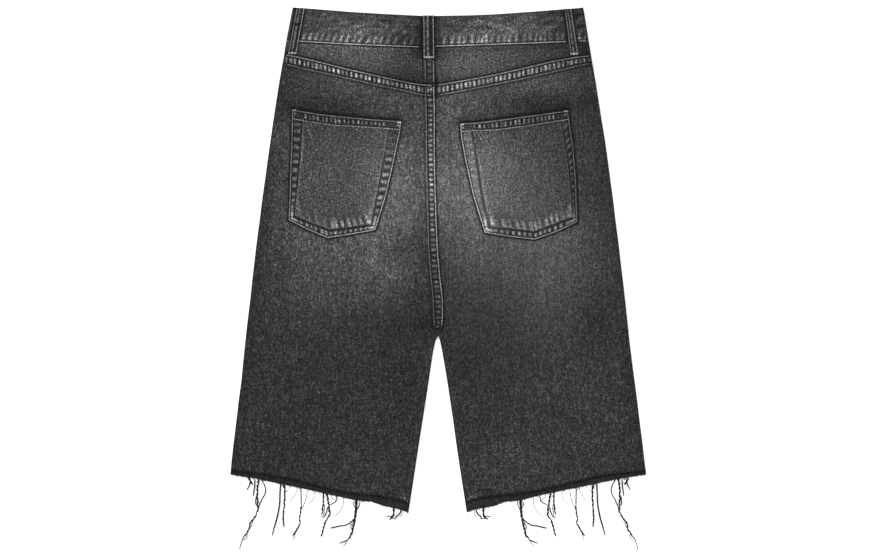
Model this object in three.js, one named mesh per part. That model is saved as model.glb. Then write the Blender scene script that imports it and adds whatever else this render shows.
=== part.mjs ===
// Knee-length denim shorts, lying flat on their front with the back uppermost.
// Millimetres. X runs across the garment, Y up towards the waist, Z out of the
// surface that the garment lies on. The origin is under the middle of the
// garment's outline, on that surface.
//
// Every piece is a closed sheet: a grid of points on its outer face, the same
// grid on its inner face, and walls round the border. Left and right are the
// wearer's, and seen from the back they are also the viewer's.
import * as THREE from 'three';

// ---------------------------------------------------------------- sizes (mm)
const DENIM = 1.0;            // one layer of cloth
const GAP = 0.3;              // clearance between neighbouring pieces
const FELL = 1.3;             // how far a felled seam stands above its panel
const SEAT_FELL = 13.0;       // width of the felled seat seam
const YOKE_FELL = 14.0;       // width of the felled yoke seams
const FELL_STEP = 2.0;        // length of the step down beside a felled seam
const EDGE_ROUND = 3.0;       // how far in from a side the cloth turns down
const EDGE_LIP = 0.7;         // height of the cloth's end at a side seam

const WAIST_LIFT = 2.0;       // front waistband stands on its loops and button
const BAND_FRONT = 1.4;       // waistband thickness, front
const BAND_BACK = 1.8;        // waistband thickness, back
const BAND_BACK_TOP = 7.2;    // top of the back waistband
const BAND_UNDERLAP = 19;     // how far each waistband end passes the middle
const YOKE_SEAT = 5.5;        // underside of the yoke where it meets the band
const SEAT_BACK = 2.7;        // underside of the back over the seat
const LEG_BACK = 1.4;         // underside of the back over the lower legs

const LOOP_THICK = 1.5;
const LOOP_EDGE = 0.8;        // rounded edge of a belt loop
const BUTTON_RADIUS = 8.5;
const BUTTON_HEIGHT = WAIST_LIFT - GAP;
const ZIP_WIDTH = 12;
const ZIP_THICK = 0.6;
const FRINGE_THICK = 1.2;

// Heights that change along the garment, by y.
const HEIGHTS = {
  front: [                     // underside of the front
    { y: -400, z: 0 }, { y: 232, z: 0 }, { y: 280, z: WAIST_LIFT }, { y: 400, z: WAIST_LIFT },
  ],
  back: [                      // underside of the back
    { y: -400, z: LEG_BACK }, { y: -157, z: LEG_BACK }, { y: -73.75, z: SEAT_BACK },
    { y: 225, z: SEAT_BACK }, { y: 289, z: YOKE_SEAT }, { y: 400, z: YOKE_SEAT },
  ],
};

// Outseams: distance of the left and right side from the middle, by y.
const SIDES = [
  { y: 353.3, left: -189.2, right: 188.8 },
  { y: 311, left: -198.1, right: 196.4 },
  { y: 285, left: -201.3, right: 200.2 },
  { y: 233, left: -210.6, right: 208.3 },
  { y: 181, left: -218.3, right: 216.6 },
  { y: 103, left: -229.2, right: 227.2 },
  { y: 25, left: -239.1, right: 236.7 },
  { y: -53, left: -248.0, right: 245.7 },
  { y: -131, left: -256.1, right: 254.9 },
  { y: -209, left: -265.9, right: 264.8 },
  { y: -248, left: -270.4, right: 269.8 },
  { y: -310, left: -270.6, right: 270.4 },
];

// Middle line of the back: the folded edge of the seat seam down to the crotch,
// then the two inseams.
const BACK_MIDDLE = [
  { y: 310, left: -6.4, right: -6.1 },
  { y: 254, left: -6.2, right: -5.9 },
  { y: 205, left: -4.6, right: -4.3 },
  { y: 38, left: -1.2, right: -0.9 },
  { y: 7, left: 1.2, right: 1.5 },
  { y: -27, left: 5.6, right: 5.9 },
  { y: -60, left: 4.6, right: 4.9 },
  { y: -73.75, left: -0.4, right: 0.1 },
  { y: -84, left: -4.9, right: 3.2 },
  { y: -105, left: -8.6, right: 6.9 },
  { y: -157, left: -16.2, right: 15.2 },
  { y: -209, left: -24.6, right: 22.5 },
  { y: -248, left: -30.3, right: 28.1 },
  { y: -306, left: -39.2, right: 37.3 },
];

// Middle line of the front: the fly edge, the rise seam and the inseams.
const FRONT_MIDDLE = [
  { y: 310, left: 4.0, right: 4.3 },
  { y: 130, left: 4.0, right: 4.3 },
  { y: -60, left: 0.6, right: 0.9 },
  ...BACK_MIDDLE.filter((row) => row.y < -61),
];

// Rows of a back panel, yoke seam to hem: y at the outseam, y at the middle,
// and how far the row bows away from a straight line.
const BACK_ROWS = {
  left: [
    { out: 292.8, mid: 254.1, bow: -1.6 },
    { out: 292.8 - YOKE_FELL, mid: 254.1 - YOKE_FELL, bow: -1.6 },
    { out: 292.8 - YOKE_FELL - FELL_STEP, mid: 254.1 - YOKE_FELL - FELL_STEP, bow: -1.6 },
    { out: 222, mid: 205, bow: 0 },
    { out: 181, mid: 168, bow: 0 },
    { out: 103, mid: 103, bow: 0 },
    { out: 38, mid: 38, bow: 0 },
    { out: 7, mid: 7, bow: 0 },
    { out: -27, mid: -27, bow: 0 },
    { out: -53, mid: -60, bow: 0 },
    { out: -73.75, mid: -73.75, bow: 0 },
    { out: -84, mid: -84, bow: 0 },
    { out: -105, mid: -105, bow: 0 },
    { out: -157, mid: -157, bow: 0 },
    { out: -209, mid: -222, bow: 0 },
    { out: -249.9, mid: -292.5, bow: 2.2 },
  ],
};
BACK_ROWS.right = BACK_ROWS.left.map((row, i) => (i < 3
  ? { out: row.out - 1.2, mid: row.mid + 0.6, bow: -0.6 } : row));

// Rows of a front panel. The first rows follow the curved mouth of the front
// pocket, where the panel stops short of the outseam by inset.
const FRONT_ROWS = [
  { out: 301.6, mid: 289.8, bow: -2.4, inset: 61 },
  { out: 285, mid: 276, bow: -1.5, inset: 59 },
  { out: 262, mid: 256, bow: -1, inset: 52 },
  { out: 245, mid: 240, bow: 0, inset: 36 },
  { out: 235, mid: 230, bow: 0, inset: 15 },
  { out: 231, mid: 222, bow: 0, inset: 0 },
  { out: 222, mid: 205, bow: 0, inset: 0 },
  { out: 181, mid: 168, bow: 0, inset: 0 },
  { out: 103, mid: 130, bow: 0, inset: 0 },
  { out: 25, mid: 38, bow: 0, inset: 0 },
  { out: -53, mid: -60, bow: 0, inset: 0 },
  { out: -73.75, mid: -73.75, bow: 0, inset: 0 },
  { out: -84, mid: -84, bow: 0, inset: 0 },
  { out: -105, mid: -105, bow: 0, inset: 0 },
  { out: -157, mid: -157, bow: 0, inset: 0 },
  { out: -209, mid: -222, bow: 0, inset: 0 },
  { out: -254.6, mid: -305.1, bow: 2.2, inset: 0 },
];
const FIRST_SEWN_ROW = 6;      // from here the front's side is sewn to the back

// Pocket facing behind the front pocket's mouth: y at the outseam, y at its
// inner edge, the bow between them, and its width.
const FACING_ROWS = [
  { out: 309.9, mid: 299.2, bow: -0.9, width: 76 },
  { out: 285, mid: 278, bow: 0, width: 78 },
  { out: 262, mid: 254, bow: 0, width: 82 },
  { out: 245, mid: 233, bow: 0, width: 86 },
  { out: 229.5, mid: 214, bow: 0, width: 88 },
];

// Waistband edges: y at the side, y at the middle, and the bow between them.
const BAND = {
  back: { top: { side: 353.3, mid: 342.4, bow: -0.6 }, low: { side: 310.4, mid: 303.0, bow: -1.0 } },
  front: { top: { side: 353.3, mid: 331.8, bow: -3.0 }, low: { side: 310.4, mid: 290.2, bow: -2.6 } },
};
const BAND_MIDDLE = -6.1;      // where the back waistband's lowest point lies

// Patch pockets: corners and the point at the bottom.
const POCKETS = {
  left: { topLeft: [-189.3, 220.7], topRight: [-48.4, 204.4], sag: -1.4,
    low: [[-194.2, 75.8], [-144.2, 54.6], [-81.5, 63.7]] },
  right: { topLeft: [27.7, 202.7], topRight: [167.8, 219.2], sag: -1.6,
    low: [[60.7, 60.9], [126.1, 52.2], [179.7, 74.3]] },
};

// Belt loops: middle of the top end, middle of the low end, width.
const BACK_LOOPS = {
  belt_loop_back_centre: { top: [-12.5, 342.9], end: [-12.5, 288.2], width: 14.8 },
  belt_loop_back_left: { top: [-179.6, 351.6], end: [-190.6, 292.6], width: 11.4 },
  belt_loop_back_right: { top: [169.0, 351.2], end: [177.2, 292.2], width: 10.8 },
};
const FRONT_LOOPS = {
  belt_loop_front_left: { x: -96, width: 14, below: 13 },
  belt_loop_front_right: { x: 96, width: 14, below: 13 },
};

// Reach of the loose hem threads below the cut edge, by distance from the
// middle.
const FRINGE_REACH = [
  { x: 30, y: -313 }, { x: 72, y: -316 }, { x: 98, y: -336 }, { x: 122, y: -346 },
  { x: 180, y: -344 }, { x: 212, y: -347 }, { x: 234, y: -353.3 }, { x: 275, y: -353.3 },
];
const FRINGE_FROM = 0.05;      // share of the hem's length where threads start
const FRINGE_TO = 0.97;        // and end

// ------------------------------------------------------------------- helpers
const lerp = THREE.MathUtils.lerp;
const vec = (x, y, z) => new THREE.Vector3(x, y, z);

// Reads a column of a table at y, between its rows.
function read(table, key, column, at) {
  const rows = table[0][key] > table[table.length - 1][key] ? [...table].reverse() : table;
  if (at <= rows[0][key]) return rows[0][column];
  for (let i = 1; i < rows.length; i++) {
    if (at <= rows[i][key]) {
      const k = (at - rows[i - 1][key]) / (rows[i][key] - rows[i - 1][key]);
      return lerp(rows[i - 1][column], rows[i][column], k);
    }
  }
  return rows[rows.length - 1][column];
}
const frontUnder = (y) => read(HEIGHTS.front, 'y', 'z', y);
const backUnder = (y) => read(HEIGHTS.back, 'y', 'z', y);
const backTop = (y) => backUnder(y) + DENIM;
const sideMeet = (y) => (frontUnder(y) + backTop(y)) / 2;
const round = (d) => Math.sqrt(Math.max(0, 1 - (1 - Math.min(1, d / EDGE_ROUND)) ** 2));

// Closed sheet between two grids of points, facing out.
function sheet(outer, inner) {
  const n = outer.length, m = outer[0].length;
  const position = [];
  for (const grid of [outer, inner]) for (const row of grid) for (const p of row) position.push(p.x, p.y, p.z);
  const a = (i, j) => i * m + j;
  const b = (i, j) => n * m + i * m + j;
  const index = [];
  const quad = (p, q, r, s) => index.push(p, q, r, p, r, s);
  for (let i = 0; i + 1 < n; i++) {
    for (let j = 0; j + 1 < m; j++) {
      quad(a(i, j), a(i + 1, j), a(i + 1, j + 1), a(i, j + 1));
      quad(b(i, j), b(i, j + 1), b(i + 1, j + 1), b(i + 1, j));
    }
    quad(a(i, 0), b(i, 0), b(i + 1, 0), a(i + 1, 0));
    quad(a(i, m - 1), a(i + 1, m - 1), b(i + 1, m - 1), b(i, m - 1));
  }
  for (let j = 0; j + 1 < m; j++) {
    quad(a(0, j), a(0, j + 1), b(0, j + 1), b(0, j));
    quad(a(n - 1, j), b(n - 1, j), b(n - 1, j + 1), a(n - 1, j + 1));
  }
  let volume = 0;
  const at = (k) => vec(position[3 * k], position[3 * k + 1], position[3 * k + 2]);
  for (let t = 0; t < index.length; t += 3) {
    volume += at(index[t]).dot(at(index[t + 1]).cross(at(index[t + 2])));
  }
  if (volume < 0) for (let t = 0; t < index.length; t += 3) [index[t + 1], index[t + 2]] = [index[t + 2], index[t + 1]];
  const geometry = new THREE.BufferGeometry();
  geometry.setAttribute('position', new THREE.Float32BufferAttribute(position, 3));
  geometry.setIndex(index);
  geometry.computeVertexNormals();
  return geometry;
}

// Points along one row of a panel: some at set distances from the outer end,
// some at set distances from the inner end, and some spread between.
function rowPoints(from, to, bow, outward, spread, inward) {
  const length = Math.hypot(to[0] - from[0], to[1] - from[1]);
  const first = outward[outward.length - 1] / length;
  const last = 1 - inward[0] / length;
  const shares = [
    ...outward.map((d) => d / length),
    ...Array.from({ length: spread }, (_, k) => lerp(first, last, (k + 1) / (spread + 1))),
    ...inward.map((d) => 1 - d / length),
  ];
  return shares.map((t) => ({
    t,
    x: lerp(from[0], to[0], t),
    y: lerp(from[1], to[1], t) + bow * 4 * t * (1 - t),
    fromOuter: t * length,
    fromInner: (1 - t) * length,
  }));
}
const SIDE_COLUMNS = [0, 0.5, 1.4, EDGE_ROUND];
const INSEAM_COLUMNS = [EDGE_ROUND, 1.4, 0.5, 0];
const FELL_COLUMNS = [SEAT_FELL + FELL_STEP, SEAT_FELL, ...INSEAM_COLUMNS];

// Faces of the back at a sewn side, d in from it: the cloth turns down to meet
// the front half way.
function backFaces(y, d, raise) {
  const meet = sideMeet(y) + GAP / 2;
  const over = backTop(y) + raise, under = backUnder(y);
  if (d >= EDGE_ROUND) return [over, under];
  const lip = meet + EDGE_LIP;
  return [lip + (over - lip) * round(d), lerp(meet, under, round(d))];
}
function frontFaces(y, d) {
  const meet = sideMeet(y) - GAP / 2;
  const under = frontUnder(y), over = under + DENIM;
  if (d >= EDGE_ROUND) return [under, over];
  const lip = meet - EDGE_LIP;
  return [lip + (under - lip) * round(d), lerp(meet, over, round(d))];
}

function makeBack(side) {
  const inward = side === 'left' ? FELL_COLUMNS : INSEAM_COLUMNS;
  const outer = [], inner = [];
  BACK_ROWS[side].forEach((row, i) => {
    const from = [read(SIDES, 'y', side, row.out), row.out];
    const to = [read(BACK_MIDDLE, 'y', side, row.mid), row.mid];
    const crotch = row.mid <= -73;
    const points = rowPoints(from, to, row.bow, SIDE_COLUMNS, 3, inward);
    const over = [], under = [];
    for (const p of points) {
      let raise = i < 2 ? FELL : 0;
      if (side === 'left' && !crotch && p.fromInner <= SEAT_FELL + 0.01) raise = i < 2 ? FELL * 1.5 : FELL;
      const d = crotch ? Math.min(p.fromOuter, p.fromInner) : p.fromOuter;
      const [top, bottom] = backFaces(p.y, d, raise);
      over.push(vec(p.x, p.y, top));
      under.push(vec(p.x, p.y, bottom));
    }
    outer.push(over);
    inner.push(under);
  });
  return sheet(outer, inner);
}

function makeYoke(side) {
  const seam = BACK_ROWS[side][0];
  const inward = side === 'left' ? FELL_COLUMNS : INSEAM_COLUMNS;
  const low = BAND.back.low;
  const rows = [
    { out: seam.out + GAP, mid: seam.mid + GAP, bow: seam.bow },
    { out: lerp(seam.out, low.side, 0.5), mid: 284, bow: lerp(seam.bow, low.bow, 0.5) },
    { out: low.side - GAP, mid: low.mid - GAP, bow: low.bow },
  ];
  const outer = [], inner = [];
  rows.forEach((row, i) => {
    const from = [read(SIDES, 'y', side, row.out), row.out];
    const to = [read(BACK_MIDDLE, 'y', side, row.mid), row.mid];
    const points = rowPoints(from, to, row.bow, SIDE_COLUMNS, 3, inward);
    const over = [], under = [];
    for (const p of points) {
      const raise = side === 'left' && p.fromInner <= SEAT_FELL + 0.01 && i === 0 ? FELL : 0;
      const [top, bottom] = backFaces(p.y, p.fromOuter, raise);
      over.push(vec(p.x, p.y, top));
      under.push(vec(p.x, p.y, bottom));
    }
    outer.push(over);
    inner.push(under);
  });
  return sheet(outer, inner);
}

// Points of a front panel's row, also used by the fringe below the hem.
function frontRow(side, row) {
  const sign = side === 'left' ? 1 : -1;
  const from = [read(SIDES, 'y', side, row.out) + sign * row.inset, row.out];
  const to = [read(FRONT_MIDDLE, 'y', side, row.mid), row.mid];
  return rowPoints(from, to, row.bow, SIDE_COLUMNS, 3, INSEAM_COLUMNS);
}

function makeFront(side) {
  const outer = [], inner = [];
  FRONT_ROWS.forEach((row, i) => {
    const crotch = row.mid <= -73;
    const over = [], under = [];
    for (const p of frontRow(side, row)) {
      let d = EDGE_ROUND;
      if (i >= FIRST_SEWN_ROW) d = Math.min(d, p.fromOuter);
      if (crotch) d = Math.min(d, p.fromInner);
      const [down, up] = frontFaces(p.y, d);
      over.push(vec(p.x, p.y, down));
      under.push(vec(p.x, p.y, up));
    }
    outer.push(over);
    inner.push(under);
  });
  return sheet(outer, inner);
}

function makeFacing(side) {
  const sign = side === 'left' ? 1 : -1;
  const outer = [], inner = [];
  for (const row of FACING_ROWS) {
    const x = read(SIDES, 'y', side, row.out);
    const points = rowPoints([x, row.out], [x + sign * row.width, row.mid], row.bow, SIDE_COLUMNS, 2, [1, 0]);
    const over = [], under = [];
    for (const p of points) {
      const down = frontUnder(p.y) + DENIM + GAP;
      const meet = sideMeet(p.y) - GAP / 2;
      const up = p.fromOuter < EDGE_ROUND ? lerp(meet, down + DENIM, round(p.fromOuter)) : down + DENIM;
      over.push(vec(p.x, p.y, down));
      under.push(vec(p.x, p.y, up));
    }
    outer.push(over);
    inner.push(under);
  }
  return sheet(outer, inner);
}

// The waistband is one strip: from its end at the middle of the front, round
// the left side, across the back, round the right side, and back to the middle
// of the front, where it passes behind its first end.
function makeWaistband() {
  const middle = (BAND_BACK_TOP + WAIST_LIFT) / 2;
  const radius = (BAND_BACK_TOP - WAIST_LIFT) / 2;
  const bandY = (edge, x, side) => {
    const end = read(SIDES, 'y', side, edge.side), mid = edge === BAND.back.top || edge === BAND.back.low ? BAND_MIDDLE : 0;
    const t = THREE.MathUtils.clamp((x - end) / (mid - end), 0, 2);
    return edge.side + (edge.mid - edge.side) * t + edge.bow * 4 * t * (1 - t);
  };
  const stations = [];
  const flat = (part, x, share, outside, inside, side) => {
    // x is the place across the garment; share carries the slanted side in.
    stations.push(['low', 'top'].map((edgeName) => {
      const edge = BAND[part][edgeName];
      const end = read(SIDES, 'y', side, edge.side);
      const px = share === null ? x : lerp(end, x, share);
      const y = bandY(edge, px, side);
      return { out: vec(px, y, outside), in: vec(px, y, inside) };
    }));
  };
  const fold = (side, order) => {
    const sign = side === 'left' ? -1 : 1;
    for (const angle of order) {
      const c = Math.cos(THREE.MathUtils.degToRad(angle)), s = Math.sin(THREE.MathUtils.degToRad(angle));
      const thick = lerp(BAND_FRONT, BAND_BACK, (s + 1) / 2);
      stations.push(['low', 'top'].map((edgeName) => {
        const y = BAND.back[edgeName].side;
        const hub = read(SIDES, 'y', side, y) - sign * radius;
        return {
          out: vec(hub + sign * radius * c, y, middle + radius * s),
          in: vec(hub + sign * (radius - thick) * c, y, middle + (radius - thick) * s),
        };
      }));
    }
  };
  const frontOut = WAIST_LIFT, frontIn = WAIST_LIFT + BAND_FRONT;
  const backIn = BAND_BACK_TOP - BAND_BACK;
  const lapped = BAND_FRONT + GAP;
  flat('front', BAND_UNDERLAP, null, frontOut, frontIn, 'right');
  for (const x of [0, -70]) flat('front', x, null, frontOut, frontIn, 'left');
  flat('front', -138, null, frontOut, frontIn, 'left');
  flat('front', -175, null, frontOut, frontIn, 'left');
  fold('left', [-90, -55, -20, 20, 55, 90]);
  for (const share of [0.1, 0.3, 0.5, 0.7, 0.9, 1]) flat('back', BAND_MIDDLE, share, BAND_BACK_TOP, backIn, 'left');
  for (const share of [0.9, 0.7, 0.5, 0.3, 0.1]) flat('back', BAND_MIDDLE, share, BAND_BACK_TOP, backIn, 'right');
  fold('right', [90, 55, 20, -20, -55, -90]);
  flat('front', 175, null, frontOut, frontIn, 'right');
  flat('front', 138, null, frontOut, frontIn, 'right');
  flat('front', 70, null, frontOut, frontIn, 'right');
  flat('front', BAND_UNDERLAP + 6, null, frontOut, frontIn, 'right');
  flat('front', BAND_UNDERLAP + 1, null, frontOut + lapped, frontIn + lapped, 'right');
  flat('front', 0, null, frontOut + lapped, frontIn + lapped, 'right');
  flat('front', -BAND_UNDERLAP, null, frontOut + lapped, frontIn + lapped, 'left');
  return sheet(stations.map((s) => s.map((p) => p.out)), stations.map((s) => s.map((p) => p.in)));
}

// A patch pocket lies on its panel: five corners, with a point at the bottom.
function makePocket(side) {
  const { topLeft, topRight, sag, low } = POCKETS[side];
  const lowShare = [0, 0.25, 0.5, 0.75, 1];
  const outer = [], inner = [];
  const rows = 4;
  for (let i = 0; i <= rows; i++) {
    const over = [], under = [];
    for (const u of lowShare) {
      const x0 = lerp(topLeft[0], topRight[0], u);
      const y0 = lerp(topLeft[1], topRight[1], u) + sag * 4 * u * (1 - u);
      const [a, b] = u < 0.5 ? [low[0], low[1]] : [low[1], low[2]];
      const k = u < 0.5 ? u * 2 : u * 2 - 1;
      const x1 = lerp(a[0], b[0], k), y1 = lerp(a[1], b[1], k);
      const x = lerp(x0, x1, i / rows), y = lerp(y0, y1, i / rows);
      const base = backTop(y) + GAP;
      over.push(vec(x, y, base + DENIM));
      under.push(vec(x, y, base));
    }
    outer.push(over);
    inner.push(under);
  }
  return sheet(outer, inner);
}

// A belt loop on the back lies over the waistband and steps down to the yoke.
function makeBackLoop({ top, end, width }) {
  const bandLow = lerp(BAND.back.low.mid, BAND.back.low.side, Math.abs(end[0] - BAND_MIDDLE) / 190);
  const onYoke = (y) => backTop(y) + GAP + 0.05;
  const stations = [
    { y: top[1], z: BAND_BACK_TOP + GAP },
    { y: bandLow - 0.6, z: BAND_BACK_TOP + GAP },
    { y: bandLow - 5, z: onYoke(bandLow - 5) + 0.15 },
    { y: end[1], z: onYoke(end[1]) },
  ];
  const outer = [], inner = [];
  for (const { y, z } of stations) {
    const x = lerp(top[0], end[0], (top[1] - y) / (top[1] - end[1]));
    const across = [-width / 2, -width / 2 + LOOP_EDGE, width / 2 - LOOP_EDGE, width / 2];
    outer.push(across.map((d, j) => vec(x + d, y, z + LOOP_THICK - (j % 3 === 0 ? 0.5 : 0))));
    inner.push(across.map((d) => vec(x + d, y, z)));
  }
  return sheet(outer, inner);
}

// A belt loop on the front lies flat under the waistband, on the surface.
function makeFrontLoop({ x, width, below }) {
  const share = 1 - Math.abs(x) / 196;
  const topY = lerp(BAND.front.top.side, BAND.front.top.mid, share) + BAND.front.top.bow * 4 * share * (1 - share);
  const lowY = lerp(BAND.front.low.side, BAND.front.low.mid, share) - below;
  const height = WAIST_LIFT - GAP;
  const outer = [], inner = [];
  for (const y of [topY, lerp(topY, lowY, 0.5), lowY]) {
    const across = [-width / 2, -width / 2 + LOOP_EDGE, width / 2 - LOOP_EDGE, width / 2];
    outer.push(across.map((d, j) => vec(x + d, y, j % 3 === 0 ? 0.4 : 0)));
    inner.push(across.map((d) => vec(x + d, y, height)));
  }
  return sheet(outer, inner);
}

// The zip is one thin strip behind the fly.
function makeZip() {
  const outer = [], inner = [];
  for (const y of [140, 200, 232, 256, 280, 284]) {
    const x = read(FRONT_MIDDLE, 'y', 'left', y) - 2;
    const z = frontUnder(y) + DENIM + GAP;
    outer.push([x - ZIP_WIDTH, x].map((px) => vec(px, y, z)));
    inner.push([x - ZIP_WIDTH, x].map((px) => vec(px, y, z + ZIP_THICK)));
  }
  return sheet(outer, inner);
}

// Turned shank button: a dished head with a rolled rim, and its short post.
function makeButton() {
  const profile = [
    [0, 0.5], [2.1, 0.5], [2.7, 0.3], [5.2, 0.35], [5.9, 0], [7.5, 0], [BUTTON_RADIUS, 0.5],
    [BUTTON_RADIUS, 1.0], [7.9, 1.4], [3.4, 1.4], [3.4, BUTTON_HEIGHT], [0, BUTTON_HEIGHT],
  ].map(([r, z]) => new THREE.Vector2(r, z));
  const geometry = new THREE.LatheGeometry(profile, 24);
  geometry.rotateX(Math.PI / 2);        // the turning axis now runs along Z
  return geometry;
}

// The loose threads under a hem, as one thin slab of their reach.
function makeFringe(side) {
  const hem = frontRow(side, FRONT_ROWS[FRONT_ROWS.length - 1]);
  const along = hem.filter((p) => p.t > FRINGE_FROM && p.t < FRINGE_TO);
  const ends = [FRINGE_FROM, FRINGE_TO].map((t) => {
    const i = hem.findIndex((p) => p.t > t);
    const k = (t - hem[i - 1].t) / (hem[i].t - hem[i - 1].t);
    return { x: lerp(hem[i - 1].x, hem[i].x, k), y: lerp(hem[i - 1].y, hem[i].y, k) };
  });
  const edge = [];
  const points = [ends[0], ...along, ends[1]];
  points.forEach((p, i) => {
    edge.push(p);
    if (i + 1 < points.length) {
      for (const k of [1 / 3, 2 / 3]) {
        edge.push({ x: lerp(p.x, points[i + 1].x, k), y: lerp(p.y, points[i + 1].y, k) });
      }
    }
  });
  const grid = (z) => [
    edge.map((p) => vec(p.x, p.y - GAP - 0.1, z)),
    edge.map((p) => vec(p.x, read(FRINGE_REACH, 'x', 'y', Math.abs(p.x)), z)),
  ];
  return sheet(grid(FRINGE_THICK), grid(0));
}

// ------------------------------------------------------------------ the part
const denim = { color: 0x383637, roughness: 0.92, metalness: 0 };
const seatDenim = { color: 0x434142, roughness: 0.92, metalness: 0 };
const fringe = { color: 0x333233, roughness: 0.95, metalness: 0 };
const steel = { color: 0x77777a, roughness: 0.4, metalness: 0.9 };
const tape = { color: 0x262627, roughness: 0.85, metalness: 0 };

const shorts = new THREE.Group();
const back = new THREE.Group();
const front = new THREE.Group();
const waist = new THREE.Group();
shorts.add(back, front, waist);

function place(group, name, geometry, look, position = [0, 0, 0], turn = 0) {
  const mesh = new THREE.Mesh(geometry, new THREE.MeshStandardMaterial(look));
  mesh.name = name;
  mesh.position.set(...position);
  mesh.rotation.z = turn;
  group.add(mesh);
}

for (const side of ['left', 'right']) {
  place(back, `back_${side}`, makeBack(side), seatDenim);
  place(back, `yoke_${side}`, makeYoke(side), seatDenim);
  place(back, `pocket_${side}`, makePocket(side), seatDenim);
  place(front, `front_${side}`, makeFront(side), denim);
  place(front, `pocket_facing_${side}`, makeFacing(side), denim);
  place(front, `hem_fringe_${side}`, makeFringe(side), fringe);
}
place(waist, 'waistband', makeWaistband(), seatDenim);
for (const [name, loop] of Object.entries(BACK_LOOPS)) place(waist, name, makeBackLoop(loop), seatDenim);
for (const [name, loop] of Object.entries(FRONT_LOOPS)) place(waist, name, makeFrontLoop(loop), denim);
place(front, 'fly_zip', makeZip(), tape);
place(waist, 'waist_button', makeButton(), steel,
  [6, (BAND.front.top.mid + BAND.front.low.mid) / 2, 0]);

export default shorts;
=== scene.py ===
import math

import bpy
import numpy as np
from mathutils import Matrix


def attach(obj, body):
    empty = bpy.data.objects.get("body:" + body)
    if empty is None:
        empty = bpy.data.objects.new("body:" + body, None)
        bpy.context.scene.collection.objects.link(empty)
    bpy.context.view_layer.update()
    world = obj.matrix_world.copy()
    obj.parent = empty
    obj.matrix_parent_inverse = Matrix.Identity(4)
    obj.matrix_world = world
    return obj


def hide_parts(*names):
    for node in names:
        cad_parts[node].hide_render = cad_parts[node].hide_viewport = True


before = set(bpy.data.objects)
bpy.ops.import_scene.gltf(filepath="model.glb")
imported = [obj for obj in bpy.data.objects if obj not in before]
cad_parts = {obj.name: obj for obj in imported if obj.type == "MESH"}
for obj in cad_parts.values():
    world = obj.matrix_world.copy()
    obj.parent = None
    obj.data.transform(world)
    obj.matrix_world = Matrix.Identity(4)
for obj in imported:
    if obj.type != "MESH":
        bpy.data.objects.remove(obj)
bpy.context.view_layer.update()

RNG = np.random.default_rng(20417)

# --------------------------------------------------------------------- places
# Lengths are millimetres until a mesh is made. A place on the garment is given
# as (u, v), a pixel of the 875 x 560 view from above, or as (x, y) in mm.
MM_PER_PX = 1.30
U0, V0 = 438.4, 279.25


def mx(u):
    return (np.asarray(u, float) - U0) * MM_PER_PX


def my(v):
    return (V0 - np.asarray(v, float)) * MM_PER_PX


def at(points):
    p = np.asarray(points, float)
    return np.stack([mx(p[:, 0]), my(p[:, 1])], axis=1)


# ------------------------------------------------------------ sizes and tables
DENIM = 1.0
GAP = 0.3
EDGE_ROUND = 3.0
EDGE_LIP = 0.7
FELL_RISE = 1.15
SEAT_FELL = 13.0
YOKE_FELL = 14.0
WAIST_LIFT = 2.0
BAND_FRONT, BAND_BACK, BAND_BACK_TOP = 1.4, 1.8, 7.2
BAND_UNDERLAP = 19.0

# outline of the sides: v, left u, right u
SIDES = np.array([
    (6.5, 292.9, 583.3), (10, 292.2, 583.5), (22, 289.6, 585.7), (38, 286.6, 588.3), (58, 283.6, 591.5),
    (80, 279.6, 595.4), (100, 276.4, 598.6), (120, 273.3, 601.7), (140, 270.5, 605.0), (160, 267.6, 607.8),
    (180, 264.9, 610.4), (200, 262.1, 613.2), (220, 259.6, 615.5), (240, 256.9, 618.2), (260, 254.5, 620.5),
    (280, 252.2, 622.9), (300, 250.1, 625.2), (320, 247.6, 627.4), (340, 245.4, 629.4), (360, 243.3, 631.9),
    (380, 241.4, 634.5), (400, 238.7, 637.2), (420, 236.4, 639.5), (440, 233.9, 642.1), (460, 231.6, 644.4),
    (476, 230.2, 646.5)])
# folded edge of the seat seam: v, u; it ends at the crotch
FOLD = np.array([
    (40, 434.4), (84, 434.7), (95, 435.0), (110, 435.3), (150, 435.3), (175, 435.7), (200, 436.4), (225, 437.3),
    (250, 438.4), (273.6, 440.4), (290, 442.4), (300, 443.4), (315, 443.6), (325, 442.9), (331, 441.0),
    (336, 438.4)])
# inseams: v, left leg u, right leg u
INSEAMS = np.array([
    (336, 438.2, 438.7), (338, 436.7, 439.1), (340, 435.8, 439.8), (345, 434.5, 440.9), (350, 433.4, 441.9),
    (360, 431.8, 443.7), (380, 428.9, 447.0), (400, 425.9, 450.1), (420, 422.7, 453.0), (440, 419.5, 455.7),
    (460, 416.5, 458.6), (480, 413.4, 461.6), (500, 410.4, 464.7), (515, 408.2, 467.0)])
# heights by y
FRONT_HEIGHT = np.array([(-400, 0), (232, 0), (280, WAIST_LIFT), (400, WAIST_LIFT)], float)
BACK_HEIGHT = np.array([(-400, 1.4), (-157, 1.4), (-73.75, 2.7), (225, 2.7), (289, 5.5), (400, 5.5)])
# folded edge of the yoke seams
YOKE_EDGE = {
    "left": at([(282, 53.6), (297.5, 56.1), (320, 61.4), (343.4, 67.4), (384.5, 76.8), (410, 82.2), (422.3, 84.0),
                (436, 84.4)]),
    "right": at([(434, 84.5), (441, 83.7), (465, 79.6), (490.6, 74.9), (520, 68.4), (551.2, 60.9), (575, 56.6),
                 (593, 54.6)]),
}
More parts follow.
